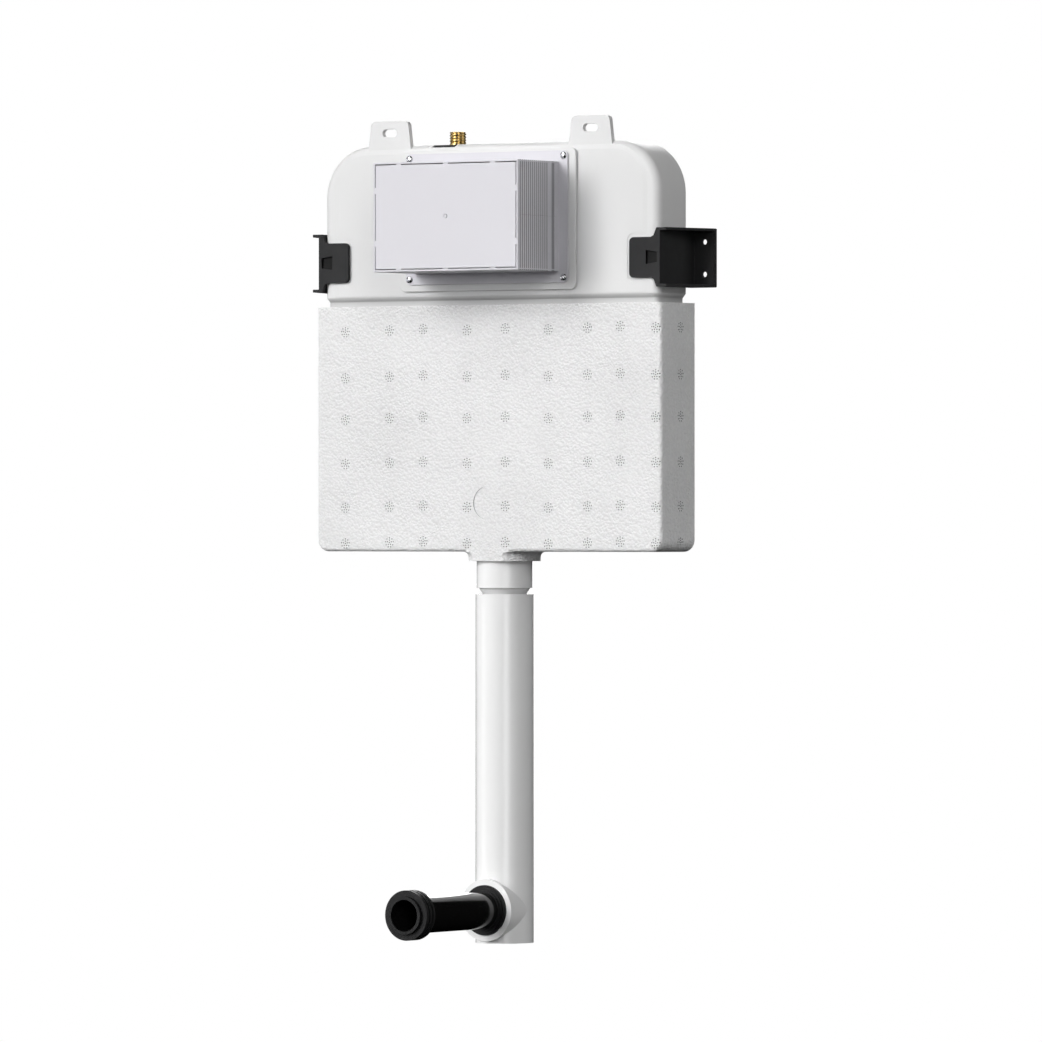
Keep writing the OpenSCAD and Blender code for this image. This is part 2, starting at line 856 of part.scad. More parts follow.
// Clip-on wall bracket for the right side
module wall_bracket() {
    tab_in = web_in - tab_l;
    half_tab = tab_h / 2;
    flare_x = web_in - 9;
    flare_in = web_in - 0.8;
    foot_x = web_out + 2.5;
    notch_x = web_out - 4.6;
    notch_l = 16;
    notch_d = 3;
    notch_wide = 8.5;
    notch_narrow = 6.2;
    clip_l = tab_l - 10;
    face_y = tank_front - fit;
    difference() {
        union() {
            along_z(-half_bracket, half_bracket)
                polygon([
                    [web_in, jacket_front], [web_out, jacket_front], [foot_x, -wall_flange_t],
                    [foot_x, 0], [web_in, 0]
                ]);
            along_y(-wall_flange_t, 0)
                translate([web_in, 0])
                    rounded_end(-half_bracket, half_bracket, flange_out - web_in, flange_corner_r);
            for (side = [0, 1])
                mirror([0, 0, side])
                    along_z(half_bracket - gusset_t, half_bracket)
                        polygon([
                            [web_in, jacket_front], [web_out + gusset_front, jacket_front],
                            [flange_out - flange_corner_r, -wall_flange_t], [flange_out - flange_corner_r, 0],
                            [web_in, 0]
                        ]);
            along_y(jacket_front, face_y) {
                translate([web_in + 1, 0])
                    rotate(180)
                        rounded_end(-half_tab, half_tab, tab_l + 1, tab_r);
                polygon([
                    [flare_x, -half_tab], [flare_x + 4, -half_tab - 2], [flare_in, -half_bracket],
                    [web_out, -half_bracket], [web_out, half_bracket], [flare_in, half_bracket],
                    [flare_x + 4, half_tab + 2], [flare_x, half_tab]
                ]);
            }
            along_y(clip_y, 0)
                translate([web_in + 1, 0])
                    rotate(180)
                        rounded_end(-half_tab, half_tab, clip_l, tab_r);
        }
        along_y(jacket_front - over, jacket_front + notch_d)
            polygon([
                [notch_x - notch_l, -notch_wide], [notch_x, -notch_narrow],
                [notch_x, notch_narrow], [notch_x - notch_l, notch_wide]
            ]);
        for (side = [-1, 1])
            translate([hole_span_x / 2, over, side * hole_span_z / 2])
                rotate([90, 0, 0])
                    cylinder(r = hole_r, h = wall_flange_t + 2 * over);
    }
}

module left_bracket() {
    color("dimgray")
        mirror([1, 0, 0])
            wall_bracket();
}

module right_bracket() {
    color("dimgray")
        wall_bracket();
}

module inlet_tail() {
    neck_z = tank_top + 1;
    socket_z = hex_z - socket_l;
    relief_r = tail_r - 0.4;
    color("goldenrod")
        translate([inlet_x, axis_y, 0])
            difference() {
                union() {
                    rotate_extrude()
                        polygon([
                            [0, socket_z], [socket_r, socket_z], [socket_r, hex_z], [relief_r, hex_z],
                            [relief_r, neck_z], [tail_r, neck_z], [tail_r, tank_top + tail_rise],
                            [0, tank_top + tail_rise]
                        ]);
                    translate([0, 0, hex_z])
                        cylinder(r = hex_r, h = hex_h, $fn = 6);
                }
                translate([0, 0, socket_z - over])
                    cylinder(r = tail_bore_r, h = tank_top + tail_rise - socket_z + 2 * over);
            }
}

module inlet_plate() {
    plate_forward = 8;
    plate_r = 3;
    color("black")
        difference() {
            translate([inlet_x, axis_y - plate_l / 2 - plate_forward, 0])
                along_z(recess_z, recess_z + plate_t)
                    rounded_rect(-plate_w / 2, plate_w / 2, 0, plate_l, plate_r);
            translate([inlet_x, axis_y, recess_z - over])
                cylinder(r = tail_r, h = plate_t + 2 * over);
        }
}

module inlet_washer() {
    color("dimgray")
        translate([inlet_x, axis_y, hex_z + hex_h])
            linear_extrude(washer_t)
                ring(tail_r, washer_r);
}

module stop_valve_body() {
    top_z = hex_z;
    socket_d = socket_l + 1;
    waterway_r = 6;
    spout_bore_r = 5;
    color("silver")
        difference() {
            union() {
                translate([inlet_x, axis_y, stop_bottom])
                    cylinder(r = stop_r, h = top_z - stop_bottom);
                translate([inlet_x, axis_y, stop_z])
                    rotate([0, -90, 0])
                        cylinder(r = fill_spigot_r, h = inlet_x - spout_x);
                translate([inlet_x, axis_y, stop_z])
                    rotate([90, 0, 0])
                        cylinder(r = stem_boss_r, h = axis_y - knob_y);
            }
            translate([inlet_x, axis_y, top_z - socket_d])
                cylinder(r = socket_r + press_gap, h = socket_d + over);
            translate([inlet_x, axis_y, stop_z - waterway_r])
                cylinder(r = waterway_r, h = top_z - stop_z);
            translate([inlet_x, axis_y, stop_z])
                rotate([0, -90, 0])
                    cylinder(r = spout_bore_r, h = inlet_x - spout_x + over);
            translate([inlet_x, axis_y - stem_hole_y, stop_z])
                rotate([90, 0, 0])
                    cylinder(r = stem_r + slide_gap, h = stop_r);
        }
}

module stop_valve_knob() {
    back_y = knob_y - fit;
    knob_t = 4;
    grip_w = 5;
    grip_h = 4;
    color("steelblue")
        union() {
            turned_y(inlet_x, stop_z)
                polygon([
                    [0, back_y - knob_t], [knob_r - 1, back_y - knob_t], [knob_r, back_y - knob_t + 1],
                    [knob_r, back_y], [stem_r, back_y], [stem_r, stem_end], [0, stem_end]
                ]);
            translate([inlet_x - grip_w / 2, back_y - knob_t - grip_h, stop_z - knob_r + 1])
                cube([grip_w, grip_h + 1, 2 * knob_r - 2]);
        }
}

module supply_hose() {
    color("lightgray") {
        translate([spout_x, axis_y, stop_z])
            rotate([0, -90, 0])
                linear_extrude(spout_x - hose_turn_x)
                    ring(hose_bore, hose_r);
        translate([hose_turn_x, axis_y, fill_top])
            rotate([90, 0, 0])
                rotate([0, 0, 90])
                    rotate_extrude(angle = 90)
                        translate([hose_bend_r, 0])
                            ring(hose_bore, hose_r);
        translate([fill_x, axis_y, fill_top - hose_tail])
            linear_extrude(hose_tail)
                ring(hose_bore, hose_r);
    }
}

// Union nut that grips a hose end at its near face
module hose_nut() {
    difference() {
        cylinder(r = hose_nut_r, h = hose_nut_h, $fn = 6);
        translate([0, 0, -over])
            cylinder(r = fill_spigot_r + press_gap, h = hose_nut_grip + over);
        cylinder(r = hose_r + press_gap, h = hose_nut_h + over);
    }
}

module hose_nuts() {
    color("silver") {
        translate([spout_x + hose_nut_grip, axis_y, stop_z])
            rotate([0, -90, 0])
                hose_nut();
        translate([fill_x, axis_y, fill_top - hose_tail - hose_nut_grip])
            hose_nut();
    }
}

module fill_valve_body() {
    shank_end = fill_mid - shank_l;
    shoulder = fill_top - hose_tail - hose_nut_grip - 1;
    color("white")
        difference() {
            union() {
                turned_z(fill_x, axis_y)
                    polygon([
                        [0, shank_end], [shank_r, shank_end], [shank_r, fill_mid], [fill_r, fill_mid],
                        [fill_r, shoulder - 2], [fill_r - 2, shoulder], [fill_spigot_r, shoulder],
                        [fill_spigot_r, fill_top - hose_tail], [0, fill_top - hose_tail]
                    ]);
                translate([fill_x + 4, axis_y - fill_r - 0.5, pivot_z - 6])
                    cube([pivot_x - fill_x + 1, 7, 12]);
            }
            translate([fill_x, axis_y, shank_end - over])
                cylinder(r = shank_r - 2.5, h = shank_l - 5);
            translate([pivot_x, axis_y, pivot_z])
                rotate([90, 0, 0])
                    cylinder(r = 2.05, h = 30);
        }
}

module fill_valve_clip() {
    clip_x = -sleeve_half_w - fit;
    clip_z = fill_mid + 8;
    clip_h = 8;
    clip_wall = 3.5;
    arm_t = 6;
    foot_t = 3;
    foot_y = tank_front + tank_wall + fit;
    color("lightgray")
        difference() {
            union() {
                translate([fill_x, axis_y, clip_z])
                    cylinder(r = fill_r + clip_wall, h = clip_h);
                translate([fill_x, axis_y - arm_t / 2, clip_z])
                    cube([clip_x - fill_x, arm_t, clip_h]);
                translate([clip_x - foot_t, foot_y, clip_z])
                    cube([foot_t, axis_y + arm_t / 2 - foot_y, clip_h]);
            }
            translate([fill_x, axis_y, clip_z - over])
                cylinder(r = fill_r + press_gap, h = clip_h + 2 * over);
        }
}

module float_cup() {
    color("skyblue")
        turned_z(fill_x, axis_y)
            polygon([
                [shank_r + 0.5, float_top], [float_r - 2, float_top], [float_r, float_top - 2],
                [float_r, float_top - float_h], [float_r - 1.6, float_top - float_h],
                [float_r - 1.6, float_top - 2.4], [shank_r + 2.1, float_top - 2.4],
                [shank_r + 2.1, float_top - float_h], [shank_r + 0.5, float_top - float_h]
            ]);
}

module float_rod() {
    rod_r = 2;
    bead_r = 3.5;
    color("white")
        turned_z(rod_x, rod_y)
            polygon([
                [0, float_top], [rod_r, float_top], [rod_r, pivot_z - 7.5], [bead_r, pivot_z - 7.5],
                [bead_r, pivot_z - 4.5], [rod_r, pivot_z - 4.5], [rod_r, pivot_z + 5],
                [bead_r, pivot_z + 5], [bead_r, pivot_z + 8], [rod_r, pivot_z + 8],
                [rod_r, pivot_z + 14], [0, pivot_z + 14]
            ]);
}

module float_lever() {
    slot_out = 6.5;
    slot_in = 3.5;
    color("steelblue")
        difference() {
            union() {
                along_y(lever_y, lever_y + lever_t) {
                    translate([rod_x, pivot_z - 3])
                        square([float_arm, 6]);
                    translate([pivot_x, pivot_z])
                        circle(5);
                }
                translate([rod_x - slot_out - 3.5, rod_y - 4.5, pivot_z - 3])
                    cube([slot_out + slot_in + 6, 9, 6]);
            }
            translate([pivot_x, axis_y, pivot_z])
                rotate([90, 0, 0])
                    cylinder(r = 2.08, h = 30);
            translate([rod_x - slot_out, rod_y - 2.3, pivot_z - 5])
                cube([slot_out + slot_in, 4.6, 10]);
        }
}

module lever_pin() {
    color("silver")
        turned_y(pivot_x, pivot_z)
            polygon([
                [0, lever_y - 2.2], [3.5, lever_y - 2.2], [3.5, lever_y - fit], [2, lever_y - fit],
                [2, axis_y - 8], [0, axis_y - 8]
            ]);
}

module valve_base() {
    color("white")
        turned_z(0, axis_y)
            polygon([
                [valve_bore_r, tail_bottom], [valve_tail_r, tail_bottom], [valve_tail_r, washer_top],
                [base_r, washer_top], [base_r, base_top], [valve_bore_r + 2.5, base_top],
                [valve_bore_r + 2, seat_z], [valve_bore_r, seat_z]
            ]);
}

module base_washer() {
    color("dimgray")
        translate([0, axis_y, floor_in])
            linear_extrude(washer_top - floor_in)
                ring(valve_tail_r, base_r);
}

module valve_cage() {
    cage_r = base_r - 0.5;
    cage_wall = 2;
    window_w = 20;
    window_sill = 6;
    color("royalblue")
        translate([0, axis_y, 0])
            difference() {
                union() {
                    along_z(base_top, cage_top)
                        ring(cage_r - cage_wall, cage_r);
                    along_z(cage_top - cage_roof_t, cage_top)
                        ring(overflow_r + fit, cage_r - 1);
                }
                for (turn = [45, 135])
                    rotate([0, 0, turn])
                        translate([-cage_r - over, -window_w / 2, base_top + window_sill])
                            cube([2 * (cage_r + over), window_w, cage_h / 2]);
            }
}

module overflow_tube() {
    collar_z = seat_z + seal_t;
    color("white")
        turned_z(0, axis_y)
            polygon([
                [overflow_bore, seat_z - 6], [valve_bore_r - 2.5, seat_z - 6], [valve_bore_r - 2.5, seat_z],
                [overflow_r, seat_z], [overflow_r, collar_z], [valve_bore_r - 1, collar_z],
                [valve_bore_r - 1, collar_z + 4], [overflow_r, collar_z + 4], [overflow_r, overflow_top],
                [overflow_bore, overflow_top]
            ]);
}

module valve_seal() {
    color("dimgray")
        translate([0, axis_y, seat_z])
            linear_extrude(seal_t)
                ring(overflow_r, valve_bore_r + 3);
}

module valve_float() {
    top = cage_top - cage_roof_t - fit - lift_travel;
    float_z = top - valve_float_h;
    color("skyblue")
        turned_z(0, axis_y)
            polygon([
                [overflow_r, float_z], [overflow_r + 1.5, float_z], [overflow_r + 1.5, top - 2],
                [base_r - 5.6, top - 2], [base_r - 5.6, float_z], [base_r - 4, float_z],
                [base_r - 4, top], [overflow_r, top]
            ]);
}

// Lift rod with a ring round the overflow tube and a bar over the rocker nose
module lift_rod(side, ring_z, ring_gap) {
    ring_wall = 3.5;
    arm_w = 6;
    arm_back = 5;
    bar_w = 12;
    bar_t = 4;
    difference() {
        union() {
            translate([0, axis_y, ring_z])
                cylinder(r = overflow_r + ring_wall, h = lift_ring_h);
            translate([side * lift_offset - arm_w / 2, axis_y, ring_z])
                cube([arm_w, lift_y - axis_y + arm_w / 2, lift_ring_h]);
            translate([min(0, side * lift_offset), axis_y + arm_back, ring_z])
                cube([lift_offset, arm_w, lift_ring_h]);
            translate([side * lift_offset, lift_y, ring_z + lift_ring_h / 2])
                cylinder(r = lift_rod_r, h = bar_z - ring_z - lift_ring_h / 2 + 2);
            translate([side * lift_offset - bar_w / 2, lift_y + bar_t - lift_bar_l, bar_z])
                cube([bar_w, lift_bar_l, bar_t]);
        }
        translate([0, axis_y, ring_z - over])
            cylinder(r = overflow_r + ring_gap, h = lift_ring_h + 2 * over);
    }
}

module full_lift_rod() {
    color("steelblue")
        lift_rod(1, overflow_top - full_ring_drop, 0);
}

module half_lift_rod() {
    color("steelblue")
        lift_rod(-1, overflow_top - half_ring_drop, fit);
}

module actuator_bridge() {
    bar_y = tank_front + tank_wall - over;
    bar_rise = 12;
    bar_t = 7;
    bar_h = 10;
    ear_z = rocker_z - hub_r;
    ear_lap = 4;
    ear_h = hub_r + bar_rise + ear_lap;
    color("white")
        difference() {
            union() {
                translate([-bridge_half, bar_y, rocker_z + bar_rise])
                    cube([2 * bridge_half, bar_t, bar_h]);
                for (side = [-1, 1], end = [-1, 1])
                    translate([
                        side * lift_offset + end * (rocker_w + ear_t + 1) / 2 - ear_t / 2, bar_y, ear_z
                    ])
                        cube([ear_t, rocker_y + hub_r - bar_y, ear_h]);
            }
            translate([-bridge_half, rocker_y, rocker_z])
                rotate([0, 90, 0])
                    cylinder(r = axle_r, h = 2 * bridge_half);
        }
}

module rocker_axle() {
    reach = lift_offset + (rocker_w + 1) / 2 + ear_t + 1;
    color("silver")
        translate([-reach, rocker_y, rocker_z])
            rotate([0, 90, 0])
                cylinder(r = axle_r, h = 2 * reach);
}

// Bell crank: the hanging arm is pushed back and the rear arm lifts
module rocker(side) {
    x0 = side * lift_offset - rocker_w / 2;
    push_l = 30;
    push_t = 6;
    difference() {
        along_x(x0, x0 + rocker_w) {
            translate([rocker_y, rocker_z])
                circle(hub_r);
            translate([rocker_y, rocker_z - nose_r])
                square([rocker_arm, 2 * nose_r]);
            translate([rocker_y + rocker_arm, rocker_z])
                circle(nose_r);
            translate([rocker_y - push_t / 2, rocker_z - push_l])
                square([push_t, push_l]);
        }
        translate([x0 - over, rocker_y, rocker_z])
            rotate([0, 90, 0])
                cylinder(r = axle_r + 0.08, h = rocker_w + 2 * over);
    }
}

module full_rocker() {
    color("steelblue")
        rocker(1);
}

module half_rocker() {
    color("steelblue")
        rocker(-1);
}

module outlet_nut() {
    cone_z = nut_bottom - pipe_gap;
    spigot_l = 38;
    spigot_end = pipe_top - spigot_l;
    spigot_wall = 4;
    bore_low = spigot_r - spigot_wall;
    bore_high = valve_tail_r + press_gap;
    nut_wall = 3.4;
    nut_floor = 8;
    skirt_r = nut_r - 3;
    color("white")
        turned_z(0, axis_y)
            polygon([
                [bore_high, nut_top], [bore_high + nut_wall, nut_top],
                [bore_high + nut_wall, nut_bottom + nut_floor], [skirt_r, nut_bottom + nut_floor],
                [skirt_r, nut_top - 6], [nut_r, nut_top - 6], [nut_r, nut_bottom], [skirt_r, nut_bottom],
                [spigot_r, cone_z], [spigot_r, spigot_end], [bore_low, spigot_end],
                [bore_low, tail_bottom - 5], [bore_high, tail_bottom - 4]
            ]);
}

module outlet_washer() {
    color("dimgray")
        translate([0, axis_y, nut_top])
            linear_extrude(outlet_washer_t)
                ring(valve_tail_r + 0.2, valve_tail_r + 6);
}

module flush_pipe() {
    color("white")
        translate([0, axis_y, joint_z])
            linear_extrude(pipe_l)
                ring(pipe_bore, pipe_r);
}

module pipe_seal() {
    pipe_seal_l = 18;
    top = pipe_top - 3;
    color("dimgray")
        turned_z(0, axis_y)
            polygon([
                [spigot_r + slide_gap, top - 6], [pipe_bore - 2, top], [pipe_bore, top],
                [pipe_bore, top - pipe_seal_l], [pipe_bore - 2, top - pipe_seal_l],
                [spigot_r + slide_gap, top - 10]
            ]);
}

module flush_bend() {
    spigot_out = pipe_bore - 0.1;
    spigot_in = spigot_out - 3;
    color("white")
        difference() {
            union() {
                turned_z(0, axis_y)
                    polygon([
                        [0, bend_bottom], [pipe_r, bend_bottom], [pipe_r, joint_z], [spigot_out, joint_z],
                        [spigot_out, joint_z + 25], [0, joint_z + 25]
                    ]);
                translate([0, axis_y, branch_z])
                    rotate([90, 0, 0])
                        cylinder(r = branch_r, h = branch_reach);
                turned_y(0, branch_z)
                    polygon([
                        [0, branch_y], [branch_lip_r, branch_y], [branch_lip_r, branch_y + 6],
                        [branch_r - 1, branch_y + 9], [0, branch_y + 9]
                    ]);
            }
            turned_z(0, axis_y)
                polygon([
                    [0, bend_bottom + 4], [bend_bore, bend_bottom + 4], [bend_bore, joint_z - 8],
                    [spigot_in, joint_z - 3], [spigot_in, joint_z + 25 + over], [0, joint_z + 25 + over]
                ]);
            translate([0, axis_y, branch_z])
                rotate([90, 0, 0])
                    cylinder(r = mouth_r, h = branch_reach + over);
        }
}

module branch_seal() {
    front = branch_y - 7;
    color("dimgray")
        turned_y(0, branch_z)
            polygon([
                [tube_r + slide_gap, front], [tube_r + 2, front], [tube_r + 2, front + 2.5],
                [tube_r + 5, front + 2.5], [tube_r + 5, front + 4.5], [branch_seal_r, front + 4.5],
                [branch_seal_r, branch_y + 14], [tube_r + slide_gap, branch_y + 14]
            ]);
}

module connector_tube() {
    color("black")
        turned_y(0, branch_z)
            polygon([
                [tube_bore, tube_front], [tube_r, tube_front], [tube_r, tube_back - 2],
                [tube_r - 1, tube_back], [tube_bore, tube_back]
            ]);
}

module pan_seal() {
    back = seal_face + pan_seal_l;
    rib_root = seal_r - 1.6;
    color("dimgray")
        turned_y(0, branch_z)
            polygon([
                [seal_hole_r, seal_face], [tube_r + 0.5, seal_face], [tube_r + 0.5, seal_face + 4.6],
                [seal_r, seal_face + 4.6], [seal_r, seal_face + 9.6], [rib_root, seal_face + 9.6],
                [rib_root, seal_face + 12.6], [seal_r, seal_face + 12.6], [seal_r, seal_face + 16.6],
                [rib_root, seal_face + 16.6], [rib_root, seal_face + 19.6], [seal_r, seal_face + 19.6],
                [seal_r, seal_face + 23.6], [tube_r + 3, seal_face + 23.6], [tube_r + 2, back],
                [tube_r, back], [tube_r, tube_front], [seal_hole_r, tube_front]
            ]);
}

tank_shell();
insulation_jacket();
access_gasket();
access_frame();
protection_box();
box_screws();
left_bracket();
right_bracket();
inlet_tail();
inlet_plate();
inlet_washer();
stop_valve_body();
stop_valve_knob();
supply_hose();
hose_nuts();
fill_valve_body();
fill_valve_clip();
float_cup();
float_rod();
float_lever();
lever_pin();
valve_base();
base_washer();
valve_cage();
overflow_tube();
valve_seal();
valve_float();
full_lift_rod();
half_lift_rod();
actuator_bridge();
rocker_axle();
full_rocker();
half_rocker();
outlet_nut();
outlet_washer();
flush_pipe();
pipe_seal();
flush_bend();
branch_seal();
connector_tube();
pan_seal();
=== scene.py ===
import math

import bmesh
import bpy
from bpy.props import FloatProperty, FloatVectorProperty, IntProperty, PointerProperty
from bpy.types import Operator, Panel, PropertyGroup
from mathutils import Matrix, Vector


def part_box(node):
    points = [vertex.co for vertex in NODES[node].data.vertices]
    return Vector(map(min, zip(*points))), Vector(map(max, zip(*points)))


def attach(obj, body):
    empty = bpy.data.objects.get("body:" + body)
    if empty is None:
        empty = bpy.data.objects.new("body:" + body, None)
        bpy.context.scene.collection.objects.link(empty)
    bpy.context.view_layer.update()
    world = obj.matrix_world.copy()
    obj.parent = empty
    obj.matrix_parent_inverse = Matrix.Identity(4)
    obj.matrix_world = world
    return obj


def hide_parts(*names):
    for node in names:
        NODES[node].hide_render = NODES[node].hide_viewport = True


bl_info = {
    "name": "Concealed cistern dresser",
    "version": (1, 0, 0),
    "blender": (4, 5, 0),
    "location": "View3D > Sidebar > Cistern",
    "description": "Dresses the solids of an in-wall toilet cistern with finishes and fine detail",
    "category": "Object",
}

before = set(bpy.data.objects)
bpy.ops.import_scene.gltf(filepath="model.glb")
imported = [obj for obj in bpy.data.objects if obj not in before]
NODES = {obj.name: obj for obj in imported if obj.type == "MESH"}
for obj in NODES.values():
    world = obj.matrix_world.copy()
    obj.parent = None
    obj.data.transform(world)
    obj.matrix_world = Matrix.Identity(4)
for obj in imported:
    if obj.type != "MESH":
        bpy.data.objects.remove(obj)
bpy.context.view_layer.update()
MM = 0.001
# Depth of the axes of the water inlet and the flush pipe
AXIS_Y = -0.040


class StageSettings(PropertyGroup):
    """Camera and light of the studio"""

    camera_turn: FloatProperty(
        name="Camera turn", description="Turn of the camera to the right of the front",
        default=math.radians(33.3), subtype="ANGLE", unit="ROTATION")
    camera_distance: FloatProperty(
        name="Camera distance", description="Distance of the camera from the pipe axis",
        default=10.945, subtype="DISTANCE", unit="LENGTH")
    camera_height: FloatProperty(
        name="Camera height", description="Height of the camera over the bracket line",
        default=-0.325, subtype="DISTANCE", unit="LENGTH")
    camera_side: FloatProperty(
        name="Camera side step", description="Step of the camera to its own right",
        default=0.0204, subtype="DISTANCE", unit="LENGTH")
    camera_lens: FloatProperty(
        name="Lens", description="Focal length in millimetres", default=302.5)
    floor_height: FloatProperty(
        name="Floor height", description="Height of the studio floor",
        default=-0.95, subtype="DISTANCE", unit="LENGTH")
    key: FloatProperty(
        name="Main light", description="Strength of the tall soft box at the front left", default=10.6)
    right: FloatProperty(
        name="Right light", description="Strength of the raised soft box at the front right", default=7.8)
    side: FloatProperty(
        name="Side light", description="Strength of the soft box behind the right side", default=2.6)
    strip: FloatProperty(
        name="Strip light", description="Strength of the low strip at the left", default=2.4)
    back: FloatProperty(
        name="Back light", description="Strength of the soft box that fills the back", default=5.5)
    spark: FloatProperty(
        name="Low light", description="Strength of the low narrow light from the left", default=0.10)


class FinishSettings(PropertyGroup):
    """Colours of the finishes"""

    tank: FloatVectorProperty(
        name="Tank", description="Blow-moulded tank", subtype="COLOR", size=3, default=(0.74, 0.74, 0.74))
    foam: FloatVectorProperty(
        name="Foam", description="Expanded bead foam", subtype="COLOR", size=3,
        default=(0.805, 0.805, 0.805))
    box: FloatVectorProperty(
        name="Protection box", description="Pale lilac grey plastic", subtype="COLOR", size=3,
        default=(0.66, 0.65, 0.69))
    pipe: FloatVectorProperty(
        name="Pipe", description="Glossy white plastic", subtype="COLOR", size=3,
        default=(0.885, 0.885, 0.885))
    black: FloatVectorProperty(
        name="Brackets", description="Black nylon", subtype="COLOR", size=3, default=(0.022, 0.022, 0.023))
    rubber: FloatVectorProperty(
        name="Seals", description="Black rubber", subtype="COLOR", size=3, default=(0.010, 0.010, 0.0105))
    tube: FloatVectorProperty(
        name="Connector tube", description="Glossy black plastic", subtype="COLOR", size=3,
        default=(0.006, 0.006, 0.006))
    brass: FloatVectorProperty(
        name="Brass", description="Turned brass", subtype="COLOR", size=3, default=(0.78, 0.58, 0.26))
    steel: FloatVectorProperty(
        name="Screws", description="Chromed steel", subtype="COLOR", size=3, default=(0.78, 0.78, 0.80))
    blue: FloatVectorProperty(
        name="Levers", description="Blue levers and floats", subtype="COLOR", size=3,
        default=(0.045, 0.16, 0.42))
    washer: FloatVectorProperty(
        name="Washers", description="Grey rubber", subtype="COLOR", size=3, default=(0.20, 0.20, 0.21))
    hose: FloatVectorProperty(
        name="Hose", description="Woven steel sleeve", subtype="COLOR", size=3, default=(0.55, 0.55, 0.57))


class FoamSettings(PropertyGroup):
    """Marks in the foam jacket"""

    vent_radius: FloatProperty(
        name="Vent radius", description="Radius of one cluster of steam vents",
        default=0.0062, subtype="DISTANCE", unit="LENGTH")
    pore_radius: FloatProperty(
        name="Pore radius", description="Radius of one pore in a vent",
        default=0.0009, subtype="DISTANCE", unit="LENGTH")
    pore_depth: FloatProperty(
        name="Pore depth", description="Depth of one pore",
        default=0.0016, subtype="DISTANCE", unit="LENGTH")
    mark_radius: FloatProperty(
        name="Round mark", description="Radius of the plain round mark on the front",
        default=0.0205, subtype="DISTANCE", unit="LENGTH")
    mark_depth: FloatProperty(
        name="Mark depth", description="Depth of the round mark",
        default=0.0012, subtype="DISTANCE", unit="LENGTH")


class HardwareSettings(PropertyGroup):
    """Screws and the inlet thread"""

    head_radius: FloatProperty(
        name="Head radius", description="Radius of a screw head",
        default=0.0048, subtype="DISTANCE", unit="LENGTH")
    thread_lead: FloatProperty(
        name="Thread lead", description="Distance between the crests of the inlet thread",
        default=0.0036, subtype="DISTANCE", unit="LENGTH")
    thread_depth: FloatProperty(
        name="Thread depth", description="Depth of the inlet thread",
        default=0.0012, subtype="DISTANCE", unit="LENGTH")
    ring_steps: IntProperty(
        name="Ring steps", description="Steps round a turned piece", default=64, min=12)


def link(tree, source, target):
    """Joins two sockets."""
    tree.links.new(source, target)


def node(tree, kind, inputs=None, **settings):
    """Adds a node with its settings, values and links."""
    made = tree.nodes.new(kind)
    for key, value in settings.items():
        setattr(made, key, value)
    for key, value in (inputs or {}).items():
        if isinstance(value, bpy.types.NodeSocket):
            link(tree, value, made.inputs[key])
        else:
            made.inputs[key].default_value = value
    return made


def start_finish(name):
    """A new finish with its shader and the place on the piece in metres."""
    finish = bpy.data.materials.new(name)
    finish.use_nodes = True
    tree = finish.node_tree
    tree.nodes.clear()
    out = node(tree, "ShaderNodeOutputMaterial")
    shader = node(tree, "ShaderNodeBsdfPrincipled")
    link(tree, shader.outputs["BSDF"], out.inputs["Surface"])
    place = node(tree, "ShaderNodeTexCoord").outputs["Object"]
    return finish, tree, shader, place


def noise(tree, place, scale, detail=2.0, rough=0.5, stretch=None):
    """Noise value over the piece, with its scale in cycles per metre."""
    if stretch:
        place = node(tree, "ShaderNodeMapping", {"Vector": place, "Scale": stretch}).outputs["Vector"]
    made = node(tree, "ShaderNodeTexNoise",
                {"Vector": place, "Scale": scale, "Detail": detail, "Roughness": rough})
    return made.outputs["Fac"]


def span(tree, value, start, end, low, high):
    """Value from the range start to end moved into the range low to high."""
    made = node(tree, "ShaderNodeMapRange", {"Value": value, "From Min": start, "From Max": end,
                                             "To Min": low, "To Max": high})
    return made.outputs["Result"]


def ramp(tree, value, low, high):
    """Middle stretch of a noise value moved into the range low to high."""
    return span(tree, value, 0.3, 0.7, low, high)


def maths(tree, kind, *values):
    """Result of a maths node on one to three values."""
    return node(tree, "ShaderNodeMath", dict(enumerate(values)), operation=kind).outputs["Value"]


def tint(tree, value, colour, spread):
    """Colour that varies a little in lightness with a value."""
    pale = [min(1.0, c * (1 + spread)) for c in colour] + [1.0]
    dark = [c * (1 - spread) for c in colour] + [1.0]
    made = node(tree, "ShaderNodeMix", {"Factor": value}, data_type="RGBA")
    # The mix node's colours have no names of their own, only these places in its list
    made.inputs[6].default_value = dark
    made.inputs[7].default_value = pale
    return made.outputs[2]


def bump(tree, height, distance, strength=1.0, normal=None):
    """Relief of a given height in metres."""
    inputs = {"Height": height, "Distance": distance, "Strength": strength}
    if normal:
        inputs["Normal"] = normal
    return node(tree, "ShaderNodeBump", inputs).outputs["Normal"]


def moulded(name, colour, rough, grain=900.0, relief=0.00003, wave=None, spread=0.02, spec=0.5):
    """Moulded plastic: cloudy tone, fine grain, uneven gloss and, if asked, a slow waviness."""
    finish, tree, shader, place = start_finish(name)
    cloud = noise(tree, place, scale=14.0, detail=3.0)
    link(tree, tint(tree, cloud, colour, spread), shader.inputs["Base Color"])
    patch = noise(tree, place, scale=55.0, detail=4.0, rough=0.6)
    link(tree, ramp(tree, patch, rough * 0.85, rough * 1.15), shader.inputs["Roughness"])
    normal = bump(tree, noise(tree, place, grain), relief, strength=0.6)
    if wave:
        normal = bump(tree, noise(tree, place, scale=22.0, detail=1.0), wave, normal=normal)
    link(tree, normal, shader.inputs["Normal"])
    shader.inputs["Specular IOR Level"].default_value = spec
    return finish


